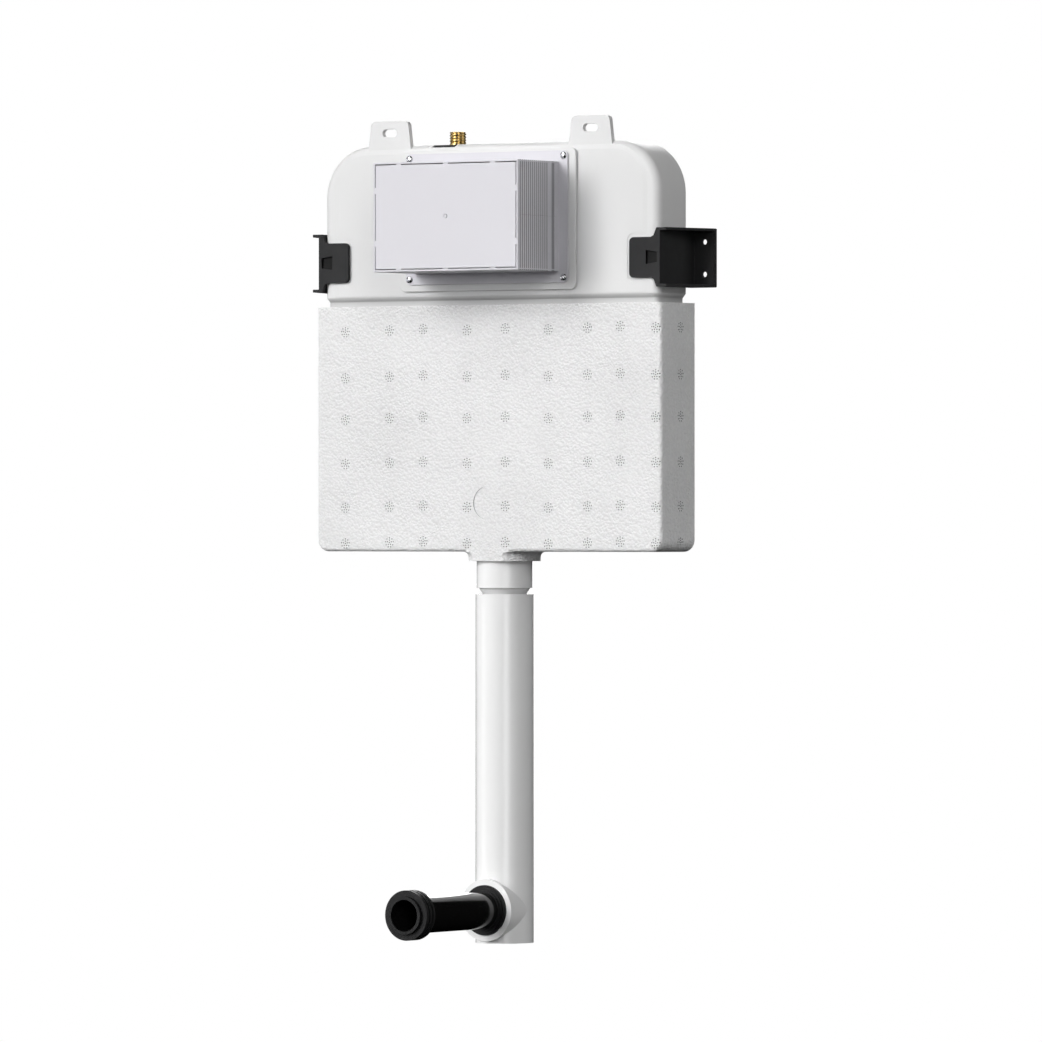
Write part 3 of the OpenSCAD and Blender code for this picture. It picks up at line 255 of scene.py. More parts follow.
def beaded_foam(name, colour):
    """Expanded foam: pressed beads with dimpled joints and an uneven skin."""
    finish, tree, shader, place = start_finish(name)
    warp = node(tree, "ShaderNodeTexNoise", {"Vector": place, "Scale": 60.0, "Detail": 2.0})
    bend = node(tree, "ShaderNodeVectorMath", {0: warp.outputs["Color"], "Scale": 0.006}, operation="SCALE")
    bent = node(tree, "ShaderNodeVectorMath", {0: place, 1: bend.outputs["Vector"]}, operation="ADD")
    cells = node(tree, "ShaderNodeTexVoronoi",
                 {"Vector": bent.outputs["Vector"], "Scale": 300.0, "Smoothness": 0.6, "Randomness": 1.0},
                 feature="SMOOTH_F1")
    beads = cells.outputs["Distance"]
    skin = noise(tree, place, scale=460.0, detail=3.0, rough=0.6)
    cloud = noise(tree, place, scale=9.0, detail=3.0)
    joint = span(tree, beads, 0.35, 0.75, 1.0, 0.0)
    fleck = maths(tree, "MULTIPLY", joint, ramp(tree, skin, 0.0, 1.0))
    tone = maths(tree, "MULTIPLY_ADD", fleck, 0.6, cloud)
    link(tree, tint(tree, tone, colour, spread=0.085), shader.inputs["Base Color"])
    link(tree, ramp(tree, skin, 0.75, 0.95), shader.inputs["Roughness"])
    normal = bump(tree, beads, distance=0.0016, strength=0.80)
    normal = bump(tree, skin, distance=0.0011, strength=0.95, normal=normal)
    link(tree, normal, shader.inputs["Normal"])
    shader.inputs["Specular IOR Level"].default_value = 0.3
    return finish


def place_axes(tree):
    """X, Y and Z of the place on the piece, in metres."""
    place = node(tree, "ShaderNodeTexCoord").outputs["Object"]
    return node(tree, "ShaderNodeSeparateXYZ", {"Vector": place}).outputs


def tone_colour(finish, share):
    """Scales the colour of a finish by a share."""
    tree = finish.node_tree
    shader = next(n for n in tree.nodes if n.type == "BSDF_PRINCIPLED")
    colour = shader.inputs["Base Color"].links[0].from_socket
    mixed = node(tree, "ShaderNodeVectorMath", {0: colour, "Scale": share}, operation="SCALE")
    link(tree, mixed.outputs["Vector"], shader.inputs["Base Color"])


def shade_pocket(finish, low, high, tone):
    """Paints shade into the finish between two corners, on both sides of the middle plane."""
    tree = finish.node_tree
    axes = place_axes(tree)
    inside = 1.0
    for axis, start, end in zip("XYZ", low, high):
        value = axes[axis]
        if axis != "Y":
            value = maths(tree, "ABSOLUTE", value)
        for kind, limit in (("GREATER_THAN", start), ("LESS_THAN", end)):
            inside = maths(tree, "MULTIPLY", inside, maths(tree, kind, value, limit))
    tone_colour(finish, span(tree, inside, 0.0, 1.0, 1.0, tone))


def shade_groove(finish, top, bottom, share, deep, end):
    """Paints shade into a groove that runs round a piece: darkest at a share of its height, paler at its
    lower edge.
    """
    tree = finish.node_tree
    height = place_axes(tree)["Z"]
    deepest = top + (bottom - top) * share
    fall = span(tree, height, top, deepest, 1.0, deep)
    rise = span(tree, height, deepest, bottom, 0.0, end - deep)
    tone_colour(finish, maths(tree, "ADD", fall, rise))


def turned_metal(name, colour, rough, lines=1500.0):
    """Bright metal with fine tool lines round its axis and a little tarnish."""
    finish, tree, shader, place = start_finish(name)
    cut = noise(tree, place, lines, detail=1.0, stretch=(0.05, 0.05, 1.0))
    stain = noise(tree, place, scale=220.0, detail=4.0, rough=0.6)
    link(tree, tint(tree, stain, colour, 0.10), shader.inputs["Base Color"])
    link(tree, ramp(tree, stain, rough * 0.8, rough * 1.3), shader.inputs["Roughness"])
    link(tree, bump(tree, cut, 0.00002, 0.5), shader.inputs["Normal"])
    shader.inputs["Metallic"].default_value = 1.0
    return finish


def braided(name, colour):
    """Woven steel sleeve of a hose: two crossing sets of wires."""
    finish, tree, shader, place = start_finish(name)
    waves = []
    for turn in (0.8, -0.8):
        spun = node(tree, "ShaderNodeMapping", {"Vector": place, "Rotation": (turn, turn, 0.4)})
        wave = node(tree, "ShaderNodeTexWave", {"Vector": spun.outputs["Vector"], "Scale": 260.0},
                    wave_type="BANDS")
        waves.append(wave.outputs["Fac"])
    weave = maths(tree, "MAXIMUM", *waves)
    link(tree, tint(tree, weave, colour, 0.25), shader.inputs["Base Color"])
    link(tree, bump(tree, weave, 0.0003, 0.8), shader.inputs["Normal"])
    shader.inputs["Metallic"].default_value = 0.7
    shader.inputs["Roughness"].default_value = 0.35
    return finish


FINISHES = {}


def finish_for(key):
    """The finish of that name, made once."""
    if key in FINISHES:
        return FINISHES[key]
    colours = bpy.context.scene.cistern_finish
    pore_painted_shade, float_tone = 0.30, 1.6
    makers = {
        "tank": lambda: moulded("tank_plastic", colours.tank, rough=0.42, grain=700.0, relief=0.00004,
                                wave=0.0003, spread=0.012, spec=0.3),
        "foam": lambda: beaded_foam("bead_foam", colours.foam),
        # Pore finish: the foam's colour darkened, painted shade in the pores.
        "pore": lambda: moulded("foam_pore_painted_shade", [c * pore_painted_shade for c in colours.foam], rough=0.9, grain=1500.0,
                                relief=0.00008, spec=0.1),
        "frame": lambda: moulded("frame_plastic", colours.tank, rough=0.42, spec=0.3),
        "box": lambda: moulded("box_plastic", colours.box, rough=0.42, grain=1100.0, spread=0.012),
        "pipe": lambda: moulded("pipe_plastic", colours.pipe, rough=0.11, grain=500.0, relief=0.00001,
                                spread=0.008),
        "black": lambda: moulded("bracket_nylon", colours.black, rough=0.55, grain=1300.0, relief=0.00006,
                                 spread=0.10, spec=0.16),
        "rubber": lambda: moulded("seal_rubber", colours.rubber, rough=0.55, grain=1500.0, relief=0.00008,
                                  spread=0.15, spec=0.2),
        "grey_rubber": lambda: moulded("washer_rubber", colours.washer, rough=0.6, grain=1500.0,
                                       relief=0.00008, spread=0.10),
        "tube": lambda: moulded("tube_plastic", colours.tube, rough=0.12, grain=600.0, relief=0.00001,
                                spread=0.10),
        "brass": lambda: turned_metal("turned_brass", colours.brass, rough=0.26),
        "steel": lambda: turned_metal("bright_steel", colours.steel, rough=0.16),
        "blue": lambda: moulded("lever_plastic", colours.blue, rough=0.35, grain=1000.0, relief=0.00004,
                                spread=0.06),
        "float": lambda: moulded("float_plastic", [c * float_tone for c in colours.blue], rough=0.4,
                                 grain=1000.0, relief=0.00004),
        "valve": lambda: moulded("valve_plastic", colours.tank, rough=0.32, grain=1000.0),
        "hose": lambda: braided("hose_braid", colours.hose),
    }
    FINISHES[key] = makers[key]()
    return FINISHES[key]


def dress(key, *names):
    """Gives CAD nodes a finish."""
    for name in names:
        piece = NODES[name]
        piece.data.materials.clear()
        piece.data.materials.append(finish_for(key))


def edge_tools():
    """Node group that joins the faces of a solid, so that its edges can be softened."""
    name = "join_faces"
    group = bpy.data.node_groups.get(name)
    if group:
        return group
    group = bpy.data.node_groups.new(name, "GeometryNodeTree")
    group.interface.new_socket("Geometry", in_out="INPUT", socket_type="NodeSocketGeometry")
    group.interface.new_socket("Geometry", in_out="OUTPUT", socket_type="NodeSocketGeometry")
    start = node(group, "NodeGroupInput")
    merged = node(group, "GeometryNodeMergeByDistance",
                  {"Geometry": start.outputs["Geometry"], "Distance": 0.000005})
    bare = node(group, "GeometryNodeSetMeshNormal", {"Mesh": merged.outputs["Geometry"]}, mode="SHARPNESS")
    bare.inputs["Remove Custom"].default_value = True
    smooth = node(group, "GeometryNodeSetShadeSmooth", {"Geometry": bare.outputs["Mesh"]}, domain="FACE")
    end = node(group, "NodeGroupOutput")
    link(group, smooth.outputs["Geometry"], end.inputs["Geometry"])
    return group


def soften(name, width, angle=35.0, steps=3, clamp=False):
    """Rounds the sharp edges of a CAD node a little."""
    piece = NODES[name]
    join = piece.modifiers.new("join_faces", "NODES")
    join.node_group = edge_tools()
    flat = piece.modifiers.new("flat_faces", "DECIMATE")
    flat.decimate_type = "DISSOLVE"
    flat.angle_limit = math.radians(0.4)
    edge = piece.modifiers.new("soft_edges", "BEVEL")
    edge.width = width
    edge.segments = steps
    edge.limit_method = "ANGLE"
    edge.angle_limit = math.radians(angle)
    edge.use_clamp_overlap = clamp
    edge.harden_normals = False
    even = piece.modifiers.new("even_shading", "WEIGHTED_NORMAL")
    even.keep_sharp = True
    even.weight = 80


def keep_piece(mesh, name, body, key):
    """Puts a finished mesh into the scene on a body."""
    shape = bpy.data.meshes.new(name)
    bmesh.ops.remove_doubles(mesh, verts=mesh.verts, dist=1e-7)
    bmesh.ops.recalc_face_normals(mesh, faces=mesh.faces)
    mesh.to_mesh(shape)
    mesh.free()
    piece = bpy.data.objects.new(name, shape)
    bpy.context.scene.collection.objects.link(piece)
    shape.materials.append(finish_for(key))
    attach(piece, body)
    return piece


def shade(piece, angle=40.0):
    """Smooth faces with sharp edges over an angle."""
    for face in piece.data.polygons:
        face.use_smooth = True
    piece.data.set_sharp_from_angle(angle=math.radians(angle))


def rings(mesh, rows, closed=True):
    """Faces between rows of points; each row is a ring, and a closed run joins the last row to the first."""
    made = [[mesh.verts.new(p) for p in row] for row in rows]
    pairs = list(zip(made, made[1:]))
    if closed:
        pairs.append((made[-1], made[0]))
    for low, high in pairs:
        count = len(low)
        for i in range(count):
            j = (i + 1) % count
            mesh.faces.new((low[i], low[j], high[j], high[i]))
    return made


def turned_rows(profile, steps, centre, axis="Z", turn=0.0):
    """Rings of points from (radius, along) pairs round an axis, started at a turn."""
    rows = []
    for radius, along in profile:
        row = []
        for i in range(steps):
            a = 2 * math.pi * i / steps + turn
            x, y = radius * math.cos(a), radius * math.sin(a)
            point = Vector((x, y, along)) if axis == "Z" else Vector((x, -along, y))
            row.append(centre + point)
        rows.append(row)
    return rows


class CISTERN_OT_tank(Operator):
    """Finish the tank, its access frame and the gasket"""

    bl_idname = "cistern.tank"
    bl_label = "Tank"

    groove_height = 0.0115
    groove_share = 0.35
    groove_painted_shade = 0.55
    groove_edge_painted_shade = 0.80
    edge_width = 0.0008

    def execute(self, context):
        dress("tank", "tank_shell")
        groove_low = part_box("insulation_jacket")[1].z
        # Painted shade: the tank's colour is darkened in the waist groove under its shoulder, just above the
        # foam jacket, standing in for the shade that falls there.
        shade_groove(finish_for("tank"), groove_low + self.groove_height, groove_low,
                     self.groove_share, self.groove_painted_shade, self.groove_edge_painted_shade)
        dress("frame", "access_frame")
        dress("grey_rubber", "access_gasket", "inlet_washer", "outlet_washer", "base_washer")
        soften("access_frame", self.edge_width)
        return {"FINISHED"}


class CISTERN_OT_foam(Operator):
    """Finish the foam jacket and press the vents and the round mark into it"""

    bl_idname = "cistern.foam"
    bl_label = "Foam jacket"

    # Places of the vents, and the step by which a column stands higher or lower, in millimetres
    columns = (-214, -147, -96, -30, 27, 91, 149, 197, 249)
    levels = (-86, -144, -196, -252, -307, -352)
    side_column = -36
    level_step = 0.7
    # Pores in each ring of a vent, with the ring's share of the vent's radius
    pore_rings = ((5, 0.48), (9, 0.94))
    pore_steps = 8
    mark_height = -0.3025
    mark_steps = 48
    press_rise = 0.0006
    edge_width = 0.0015
    up = Vector((0, 0, 1))

    def pores(self, settings):
        """Centres of the pores of one vent."""
        yield 0.0, 0.0
        for count, share in self.pore_rings:
            for i in range(count):
                a = 2 * math.pi * (i + 0.25 * count) / count
                yield settings.vent_radius * share * math.cos(a), settings.vent_radius * share * math.sin(a)

    def press(self, mesh, centre, right, out, radius, depth, steps, floor):
        """One closed round plug into a face: its wall has the pore finish, which is the foam with painted
        shade, and its floor has the given one.
        """
        rows = []
        for along in (-depth, self.press_rise):
            row = []
            for i in range(steps):
                a = 2 * math.pi * i / steps
                across, rise = radius * math.cos(a), radius * math.sin(a)
                row.append(centre + right * across + self.up * rise + out * along)
            rows.append(row)
        count = len(mesh.faces)
        made = rings(mesh, rows, closed=False)
        mesh.faces.ensure_lookup_table()
        for face in mesh.faces[count:]:
            face.material_index = 1
        mesh.faces.new(made[0][::-1]).material_index = floor
        mesh.faces.new(made[1])

    def execute(self, context):
        settings = context.scene.cistern_foam
        jacket = NODES["insulation_jacket"]
        dress("foam", "insulation_jacket")
        # The pore finish paints shade on the walls and floors of the pressed vents and on the wall of the
        # round mark.
        jacket.data.materials.append(finish_for("pore"))
        low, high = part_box("insulation_jacket")
        front, right, left = Vector((0, -1, 0)), Vector((1, 0, 0)), Vector((-1, 0, 0))
        faces = []
        for i, x in enumerate(self.columns):
            step = (i * 2 % 5 - 2) * self.level_step
            for z in self.levels:
                faces.append((Vector((x * MM, low.y, (z + step) * MM)), right, front))
        for z in self.levels:
            faces.append((Vector((high.x, self.side_column * MM, z * MM)), front, right))
            faces.append((Vector((low.x, self.side_column * MM, z * MM)), front, left))
        mesh = bmesh.new()
        for centre, across, out in faces:
            for u, v in self.pores(settings):
                self.press(mesh, centre + across * u + self.up * v, across, out,
                           settings.pore_radius, settings.pore_depth, self.pore_steps, 1)
        mark = Vector((0, low.y, self.mark_height))
        self.press(mesh, mark, right, front, settings.mark_radius, settings.mark_depth, self.mark_steps, 0)
        bmesh.ops.recalc_face_normals(mesh, faces=mesh.faces)
        shape = bpy.data.meshes.new("foam_press")
        mesh.to_mesh(shape)
        mesh.free()
        shape.materials.append(finish_for("foam"))
        shape.materials.append(finish_for("pore"))
        press = bpy.data.objects.new("foam_press", shape)
        context.scene.collection.objects.link(press)
        press.hide_render = True
        press.display_type = "WIRE"
        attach(press, "cistern")
        soften("insulation_jacket", self.edge_width, clamp=True)
        cut = jacket.modifiers.new("pressed_marks", "BOOLEAN")
        cut.object = press
        cut.operation = "DIFFERENCE"
        cut.solver = "MANIFOLD"
        jacket.modifiers.move(jacket.modifiers.find("pressed_marks"), jacket.modifiers.find("even_shading"))
        return {"FINISHED"}


class CISTERN_OT_box(Operator):
    """Finish the protection box and make its screws and gate mark"""

    bl_idname = "cistern.box"
    bl_label = "Protection box"

    box_half = 0.1075
    groove_skin = 0.00022
    groove_reach = 0.0016
    groove_start = 0.0020
    groove_end_y = -0.085
    groove_painted_shade = 0.45
    edge_width = 0.0005
    head_rise = 0.0026
    head_rows = 18
    crown_drop = 0.0014
    crown_power = 2.4
    rim_drop = 0.0008
    rim_start = 0.8
    cross_half = 0.00062
    cross_wall = 0.00018
    cross_reach = 0.0026
    cross_end = 0.0005
    cross_depth = 0.0015
    shank_radius = 0.0019
    shank_length = 0.0050
    tip_radius = 0.0012
    tip_length = 0.0056
    # Turn of the first screw, and what the next one across and the next one up add to it, in radians
    first_turn = 0.35
    turn_across = 0.6
    turn_up = 1.1
    mark_in = 0.0016
    mark_out = 0.0026
    mark_rise = 0.0007
    mark_soft = 0.0002
    mark_root = 0.0004
    mark_steps = 32

    def head_height(self, r, a, radius):
        """Height of a pan head with a cross recess at a place on it."""
        share = min(1.0, r / radius)
        rim = max(0.0, share - self.rim_start) / (1 - self.rim_start)
        dome = self.head_rise - self.crown_drop * share ** self.crown_power - self.rim_drop * rim
        x, y = abs(r * math.cos(a)), abs(r * math.sin(a))
        long, short = max(x, y), min(x, y)
        inside = max(0.0, min(1.0, (self.cross_half - short) / self.cross_wall))
        reach = max(0.0, min(1.0, (self.cross_reach - long) / self.cross_end))
        return dome - self.cross_depth * inside * reach

    def screw(self, mesh, centre, radius, steps, turn):
        """One screw with its head on the flange and its shank behind it."""
        rows = []
        for k in range(1, self.head_rows + 1):
            r = radius * k / self.head_rows
            row = []
            for i in range(steps):
                a = 2 * math.pi * i / steps
                height = self.head_height(r, a, radius)
                row.append(centre + Vector((r * math.cos(a + turn), -height, r * math.sin(a + turn))))
            rows.append(row)
        shank = [(radius, 0.0), (self.shank_radius, 0.0), (self.shank_radius, -self.shank_length),
                 (self.tip_radius, -self.tip_length)]
        rows += turned_rows(shank, steps, centre, "Y", turn)
        made = rings(mesh, rows, closed=False)
        top = mesh.verts.new(centre + Vector((0, -self.head_height(0, 0, radius), 0)))
        for i in range(steps):
            mesh.faces.new((top, made[0][(i + 1) % steps], made[0][i]))
        mesh.faces.new(made[-1])

    def gate_mark(self, low, high):
        """Small raised ring in the middle of the front of the box."""
        centre = Vector((0, low.y, (low.z + high.z) / 2))
        middle = (self.mark_in + self.mark_out) / 2
        lean, shoulder = self.mark_soft / 2, self.mark_rise - self.mark_soft
        profile = [(self.mark_in, 0.0), (self.mark_in + lean, shoulder), (middle, self.mark_rise),
                   (self.mark_out - lean, shoulder), (self.mark_out, 0.0),
                   (self.mark_out, -self.mark_root), (self.mark_in, -self.mark_root)]
        mesh = bmesh.new()
        rings(mesh, turned_rows(profile, self.mark_steps, centre, "Y"))
        mark = keep_piece(mesh, "box_gate_mark", "cistern", "box")
        shade(mark)

    def execute(self, context):
        settings = context.scene.cistern_hardware
        dress("box", "protection_box")
        box_low, box_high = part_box("protection_box")
        groove_low = (self.box_half - self.groove_reach, box_low.y + self.groove_start, -1.0)
        groove_high = (self.box_half - self.groove_skin, self.groove_end_y, 1.0)
        # Painted shade: the floors of the grooves in the sides of the box are darkened in its colour,
        # standing in for the shade in them.
        shade_pocket(finish_for("box"), groove_low, groove_high, self.groove_painted_shade)
        soften("protection_box", self.edge_width, angle=40.0, steps=2)
        low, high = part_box("box_screws")
        flange_y = low.y + self.head_rise
        radius = settings.head_radius
        mesh = bmesh.new()
        for i, x in enumerate((low.x + radius, high.x - radius)):
            for j, z in enumerate((low.z + radius, high.z - radius)):
                turn = self.first_turn + self.turn_across * i + self.turn_up * j
                self.screw(mesh, Vector((x, flange_y, z)), radius, settings.ring_steps, turn)
        screws = keep_piece(mesh, "cross_head_screws", "cistern", "steel")
        shade(screws, 45.0)
        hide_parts("box_screws")
        self.gate_mark(box_low, box_high)
        return {"FINISHED"}


class CISTERN_OT_brackets(Operator):
    """Finish the two wall brackets and the plate under the water inlet"""

    bl_idname = "cistern.brackets"
    bl_label = "Wall brackets"

    pocket_in = 0.2325
    pocket_out = 0.2515
    pocket_skin = 0.0007
    pocket_depth = 0.0060
    pocket_half = 0.0095
    pocket_painted_shade = 0.09
    edge_width = 0.0006

    def execute(self, context):
        dress("black", "left_bracket", "right_bracket", "inlet_plate")
        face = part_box("right_bracket")[0].y
        pocket_low = (self.pocket_in, face + self.pocket_skin, -1.0)
        pocket_high = (self.pocket_out, face + self.pocket_depth, self.pocket_half)
        # Painted shade: the recess in each bracket's tab is darkened almost to black, standing in for the
        # shade deep in it.
        shade_pocket(finish_for("black"), pocket_low, pocket_high, self.pocket_painted_shade)
        for name in ("left_bracket", "right_bracket"):
            soften(name, self.edge_width, steps=2)
        return {"FINISHED"}


class CISTERN_OT_inlet(Operator):
    """Make the brass inlet tail with its thread"""

    bl_idname = "cistern.inlet"
    bl_label = "Water inlet"

    crest_radius = 0.0104775
    bore_radius = 0.0075
    bore_bevel = 0.0005
    bore_bevel_depth = 0.0006
    mouth_inset = 0.0014
    end_height = 0.0003
    tail_radius = 0.0090
    tail_bevel = 0.0002
    neck_relief = 0.0004
    neck_start = 0.0010
    thread_start = 0.1472
    thread_rows = 110
    crest_power = 0.7
    run_out = 0.0010
    lead_in = 0.0012
    lead_in_depth = 0.0009
    hex_radius = 0.0165
    hex_base = 0.0130
    hex_top = 0.0185
    hex_bevel = 0.0009
    hex_end_share = 0.95
    hex_inset = 0.0006
    hex_steps = 48

    def thread(self, settings, centre, top):
        """Rings of the thread from its run-out to its lead-in."""
        low, steps = self.thread_start, settings.ring_steps
        rows = []
        for k in range(self.thread_rows + 1):
            z = low + (top - self.end_height - low) * k / self.thread_rows
            fade = min(1.0, (z - low) / self.run_out, max(0.0, (top - z) / self.lead_in))
            taper = self.lead_in_depth * max(0.0, 1 - (top - z) / self.lead_in)
            row = []
            for i in range(steps):
                a = 2 * math.pi * i / steps
                turn = (z - low) / settings.thread_lead - i / steps
                wave = 0.5 - 0.5 * math.cos(2 * math.pi * turn)
                r = self.crest_radius - settings.thread_depth * (1 - wave ** self.crest_power) * fade - taper
                row.append(centre + Vector((r * math.cos(a), r * math.sin(a), z)))
            rows.append(row)
        return rows

    def hexagon(self, centre, low, high):
        """Rings of the hexagon round the neck, where a share of 0 stands for its bore."""
        flat = self.hex_radius * math.cos(math.pi / 6)
        rows = []
        end, bevel = self.hex_end_share, self.hex_bevel
        for share, z in ((0.0, low), (end, low), (1.0, low + bevel), (1.0, high - bevel), (end, high),
                         (0.0, high)):
            row = []
            for i in range(self.hex_steps):
                a = 2 * math.pi * i / self.hex_steps
                corner = flat / math.cos((a + math.pi / 6) % (math.pi / 3) - math.pi / 6)
                r = corner * share if share else self.crest_radius - self.hex_inset
                row.append(centre + Vector((r * math.cos(a), r * math.sin(a), z)))
            rows.append(row)
        return rows

    def execute(self, context):
        settings = context.scene.cistern_hardware
        low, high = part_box("inlet_tail")
        centre = Vector(((low.x + high.x) / 2, AXIS_Y, 0))
        crest, bore, tail = self.crest_radius, self.bore_radius, self.tail_radius
        hex_low, hex_high = low.z + self.hex_base, low.z + self.hex_top
        neck, neck_low = crest - self.neck_relief, hex_low + self.neck_start
        under = [(bore, low.z), (tail - self.tail_bevel, low.z), (tail, low.z + self.end_height),
                 (tail, neck_low), (neck, neck_low), (neck, self.thread_start)]
        mouth = [(crest - self.mouth_inset, high.z), (bore + self.bore_bevel, high.z),
                 (bore, high.z - self.bore_bevel_depth)]
        rows = turned_rows(under, settings.ring_steps, centre)
        rows += self.thread(settings, centre, high.z)
        rows += turned_rows(mouth, settings.ring_steps, centre)
        mesh = bmesh.new()
        rings(mesh, rows)
        rings(mesh, self.hexagon(centre, hex_low, hex_high))
        tail_piece = keep_piece(mesh, "inlet_tail_thread", "cistern", "brass")
        shade(tail_piece, 50.0)
        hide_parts("inlet_tail")
        return {"FINISHED"}


class CISTERN_OT_valves(Operator):
    """Finish the stop valve, hose, fill valve and flush valve inside the tank"""

    bl_idname = "cistern.valves"
    bl_label = "Inner valves"

    def execute(self, context):
        dress("brass", "stop_valve_body")
        dress("steel", "hose_nuts", "rocker_axle", "lever_pin")
        dress("hose", "supply_hose")
        dress("blue", "stop_valve_knob", "full_lift_rod", "half_lift_rod", "full_rocker", "half_rocker",
              "float_lever")
        dress("float", "float_cup", "valve_float")
        dress("rubber", "valve_seal")
        dress("valve", "fill_valve_body", "fill_valve_clip", "float_rod", "valve_base", "valve_cage",
              "overflow_tube", "actuator_bridge")
        return {"FINISHED"}


class CISTERN_OT_pipe(Operator):
    """Finish the outlet nut, flush pipe and bend"""

    bl_idname = "cistern.pipe"
    bl_label = "Flush pipe"

    def execute(self, context):
        dress("pipe", "outlet_nut", "flush_pipe", "flush_bend")
        dress("rubber", "pipe_seal")
        return {"FINISHED"}


class CISTERN_OT_connector(Operator):
    """Finish the pan connector tube and its seals"""

    bl_idname = "cistern.connector"
    bl_label = "Pan connector"

    def execute(self, context):
        dress("tube", "connector_tube")
        dress("rubber", "pan_seal", "branch_seal")
        return {"FINISHED"}


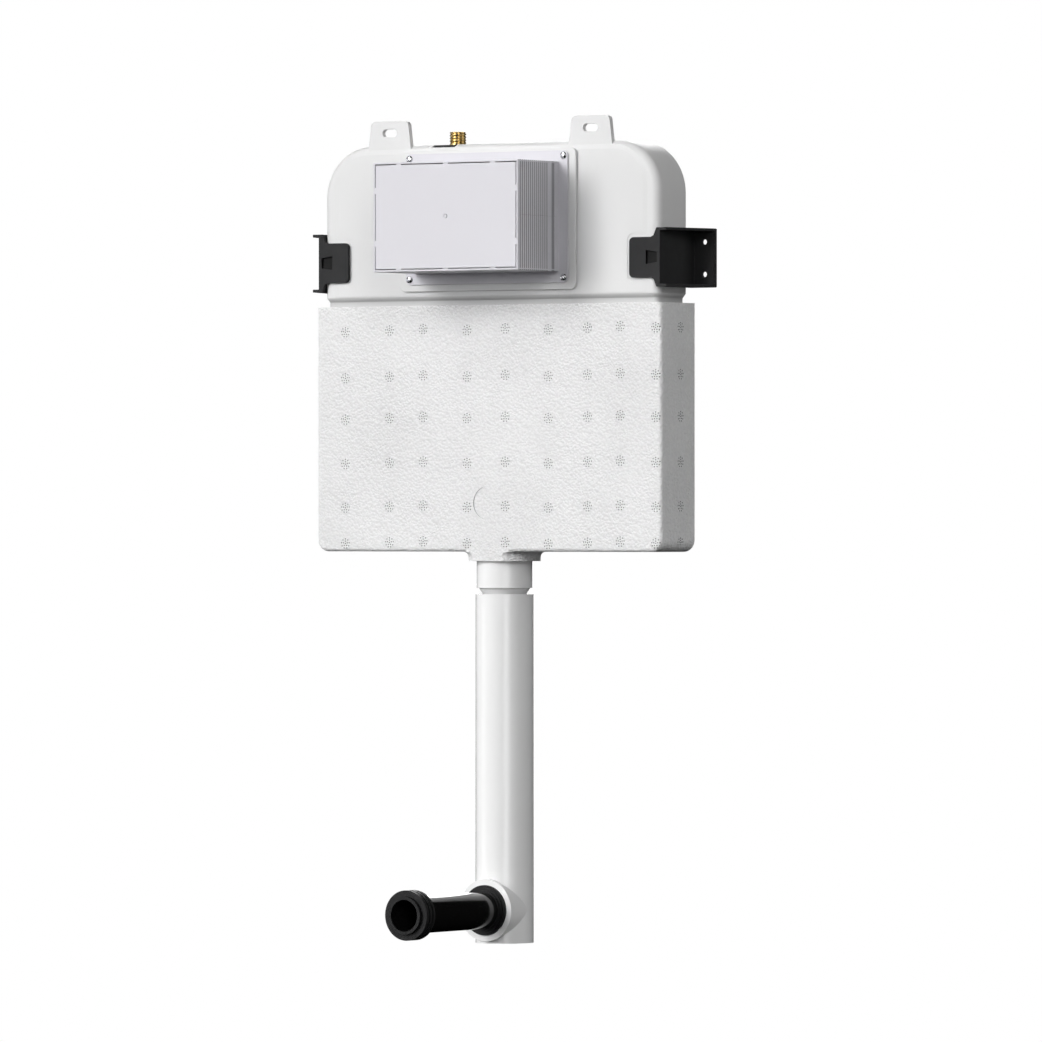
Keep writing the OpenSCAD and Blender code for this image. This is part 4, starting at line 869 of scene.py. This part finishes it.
class CISTERN_OT_stage(Operator):
    """Set up the floor, light and camera"""

    bl_idname = "cistern.stage"
    bl_label = "Stage"

    low_light_turn = math.radians(-30.7)
    low_light_height = math.radians(2.0)
    low_light_width = math.radians(1.5)

    def sky(self, context, settings):
        """White behind the object, and soft boxes of light that only light it."""
        world = bpy.data.worlds.new("studio")
        context.scene.world = world
        world.use_nodes = True
        tree = world.node_tree
        tree.nodes.clear()
        out = node(tree, "ShaderNodeOutputWorld")
        way = node(tree, "ShaderNodeTexCoord").outputs["Generated"]
        axes = node(tree, "ShaderNodeSeparateXYZ", {"Vector": way})

        def between(value, low, high):
            made = node(tree, "ShaderNodeMapRange", {"Value": value, "From Min": low, "From Max": high},
                        interpolation_type="SMOOTHSTEP")
            return made.outputs["Result"]

        def combine(kind, *values):
            return maths(tree, kind, *values)

        def window(value, low, high, soft):
            low, high, soft = math.radians(low), math.radians(high), math.radians(soft)
            rise = between(value, low - soft, low + soft)
            fall = between(combine("MULTIPLY", value, -1.0), -high - soft, -high + soft)
            return combine("MULTIPLY", rise, fall)

        front = combine("MULTIPLY", axes.outputs["Y"], -1.0)
        turn = combine("ARCTAN2", axes.outputs["X"], front)
        lift = combine("ARCSINE", axes.outputs["Z"])
        # Each soft box: its left, right and blur, its low, high and blur, all in degrees, and its strength
        lights = [
            (-38.0, -10.0, 4.0, 5.0, 34.0, 4.0, settings.key),
            (-38.0, -10.0, 4.0, 34.0, 60.0, 4.0, settings.key * 0.17),
            (30.0, 50.0, 5.0, 15.0, 32.0, 5.0, settings.right),
            (30.0, 52.0, 5.0, -8.0, 10.0, 5.0, settings.right * 0.38),
            (100.0, 130.0, 5.0, 12.0, 34.0, 5.0, settings.side),
            (100.0, 130.0, 5.0, -35.0, 12.0, 5.0, settings.side * 0.18),
            (-68.0, -50.0, 3.0, -12.0, 8.0, 4.0, settings.strip),
            (-112.0, -78.0, 6.0, -12.0, 12.0, 6.0, settings.strip * 0.3),
            (-162.0, -140.0, 3.0, 0.0, 50.0, 6.0, settings.back),
        ]
        glow = 0.0
        for left, right, soft, low, high, blur, strength in lights:
            shape = combine("MULTIPLY", window(turn, left, right, soft), window(lift, low, high, blur))
            glow = combine("ADD", glow, combine("MULTIPLY", shape, strength))
        light = node(tree, "ShaderNodeBackground", {"Strength": glow})
        white = node(tree, "ShaderNodeBackground", {"Strength": 1.0})
        for shader in (light, white):
            shader.inputs["Color"].default_value = (1.0, 1.0, 1.0, 1.0)
        seen = node(tree, "ShaderNodeLightPath").outputs["Is Camera Ray"]
        mixed = node(tree, "ShaderNodeMixShader", {"Fac": seen, 1: light.outputs[0], 2: white.outputs[0]})
        link(tree, mixed.outputs[0], out.inputs["Surface"])

    def floor(self, context, settings):
        """Plain white floor under the object."""
        mesh = bmesh.new()
        bmesh.ops.create_grid(mesh, x_segments=8, y_segments=8, size=30.0)
        shape = bpy.data.meshes.new("studio_floor")
        mesh.to_mesh(shape)
        mesh.free()
        floor = bpy.data.objects.new("studio_floor", shape)
        floor.location.z = settings.floor_height
        context.scene.collection.objects.link(floor)
        finish = bpy.data.materials.new("floor_white")
        finish.use_nodes = True
        tree = finish.node_tree
        tree.nodes.clear()
        out = node(tree, "ShaderNodeOutputMaterial")
        glow = node(tree, "ShaderNodeEmission", {"Color": (1.0, 1.0, 1.0, 1.0), "Strength": 1.0})
        link(tree, glow.outputs[0], out.inputs["Surface"])
        shape.materials.append(finish)
        floor.visible_diffuse = False
        floor.visible_glossy = False
        floor.visible_transmission = False
        floor.visible_shadow = False

    def sun(self, context, settings):
        """Low narrow light from the left of the front."""
        lamp = bpy.data.lights.new("low_light", "SUN")
        lamp.energy = settings.spark
        lamp.angle = self.low_light_width
        piece = bpy.data.objects.new("low_light", lamp)
        turn, lift = self.low_light_turn, self.low_light_height
        ray = Vector((math.sin(turn) * math.cos(lift), -math.cos(turn) * math.cos(lift), math.sin(lift)))
        piece.rotation_mode = "QUATERNION"
        piece.rotation_quaternion = ray.to_track_quat("Z", "Y")
        context.scene.collection.objects.link(piece)

    def camera(self, context, settings):
        """Camera at the photograph's place."""
        lens = bpy.data.cameras.new("camera")
        lens.lens = settings.camera_lens
        lens.sensor_width = 36.0
        lens.clip_end = 200.0
        camera = bpy.data.objects.new("camera", lens)
        turn = settings.camera_turn
        back = Vector((math.sin(turn), -math.cos(turn), 0))
        side = Vector((math.cos(turn), math.sin(turn), 0))
        aim = Vector((0, AXIS_Y, settings.camera_height))
        camera.location = aim + back * settings.camera_distance + side * settings.camera_side
        camera.rotation_mode = "QUATERNION"
        camera.rotation_quaternion = (-back).to_track_quat("-Z", "Y")
        context.scene.collection.objects.link(camera)
        context.scene.camera = camera

    def execute(self, context):
        settings = context.scene.cistern_stage
        self.sky(context, settings)
        self.floor(context, settings)
        self.sun(context, settings)
        self.camera(context, settings)
        context.scene.view_settings.view_transform = "Standard"
        return {"FINISHED"}


STEPS = (
    CISTERN_OT_stage, CISTERN_OT_tank, CISTERN_OT_foam, CISTERN_OT_box, CISTERN_OT_brackets,
    CISTERN_OT_inlet, CISTERN_OT_valves, CISTERN_OT_pipe, CISTERN_OT_connector,
)


class CISTERN_PT_sidebar(Panel):
    """Sidebar list of the cistern's pieces"""

    bl_label = "Cistern"
    bl_idname = "CISTERN_PT_sidebar"
    bl_space_type = "VIEW_3D"
    bl_region_type = "UI"
    bl_category = "Cistern"

    def draw(self, context):
        for step in STEPS:
            self.layout.operator(step.bl_idname)


SETTINGS = {
    "cistern_stage": StageSettings,
    "cistern_finish": FinishSettings,
    "cistern_foam": FoamSettings,
    "cistern_hardware": HardwareSettings,
}


def register():
    for made in (*SETTINGS.values(), *STEPS, CISTERN_PT_sidebar):
        bpy.utils.register_class(made)
    for name, made in SETTINGS.items():
        setattr(bpy.types.Scene, name, PointerProperty(type=made))


def unregister():
    for name in SETTINGS:
        delattr(bpy.types.Scene, name)
    for made in (CISTERN_PT_sidebar, *reversed(STEPS), *SETTINGS.values()):
        bpy.utils.unregister_class(made)


def main():
    register()
    bpy.ops.cistern.stage()
    bpy.ops.cistern.tank()
    bpy.ops.cistern.foam()
    bpy.ops.cistern.box()
    bpy.ops.cistern.brackets()
    bpy.ops.cistern.inlet()
    bpy.ops.cistern.valves()
    bpy.ops.cistern.pipe()
    bpy.ops.cistern.connector()


if __name__ == "__main__":
    main()
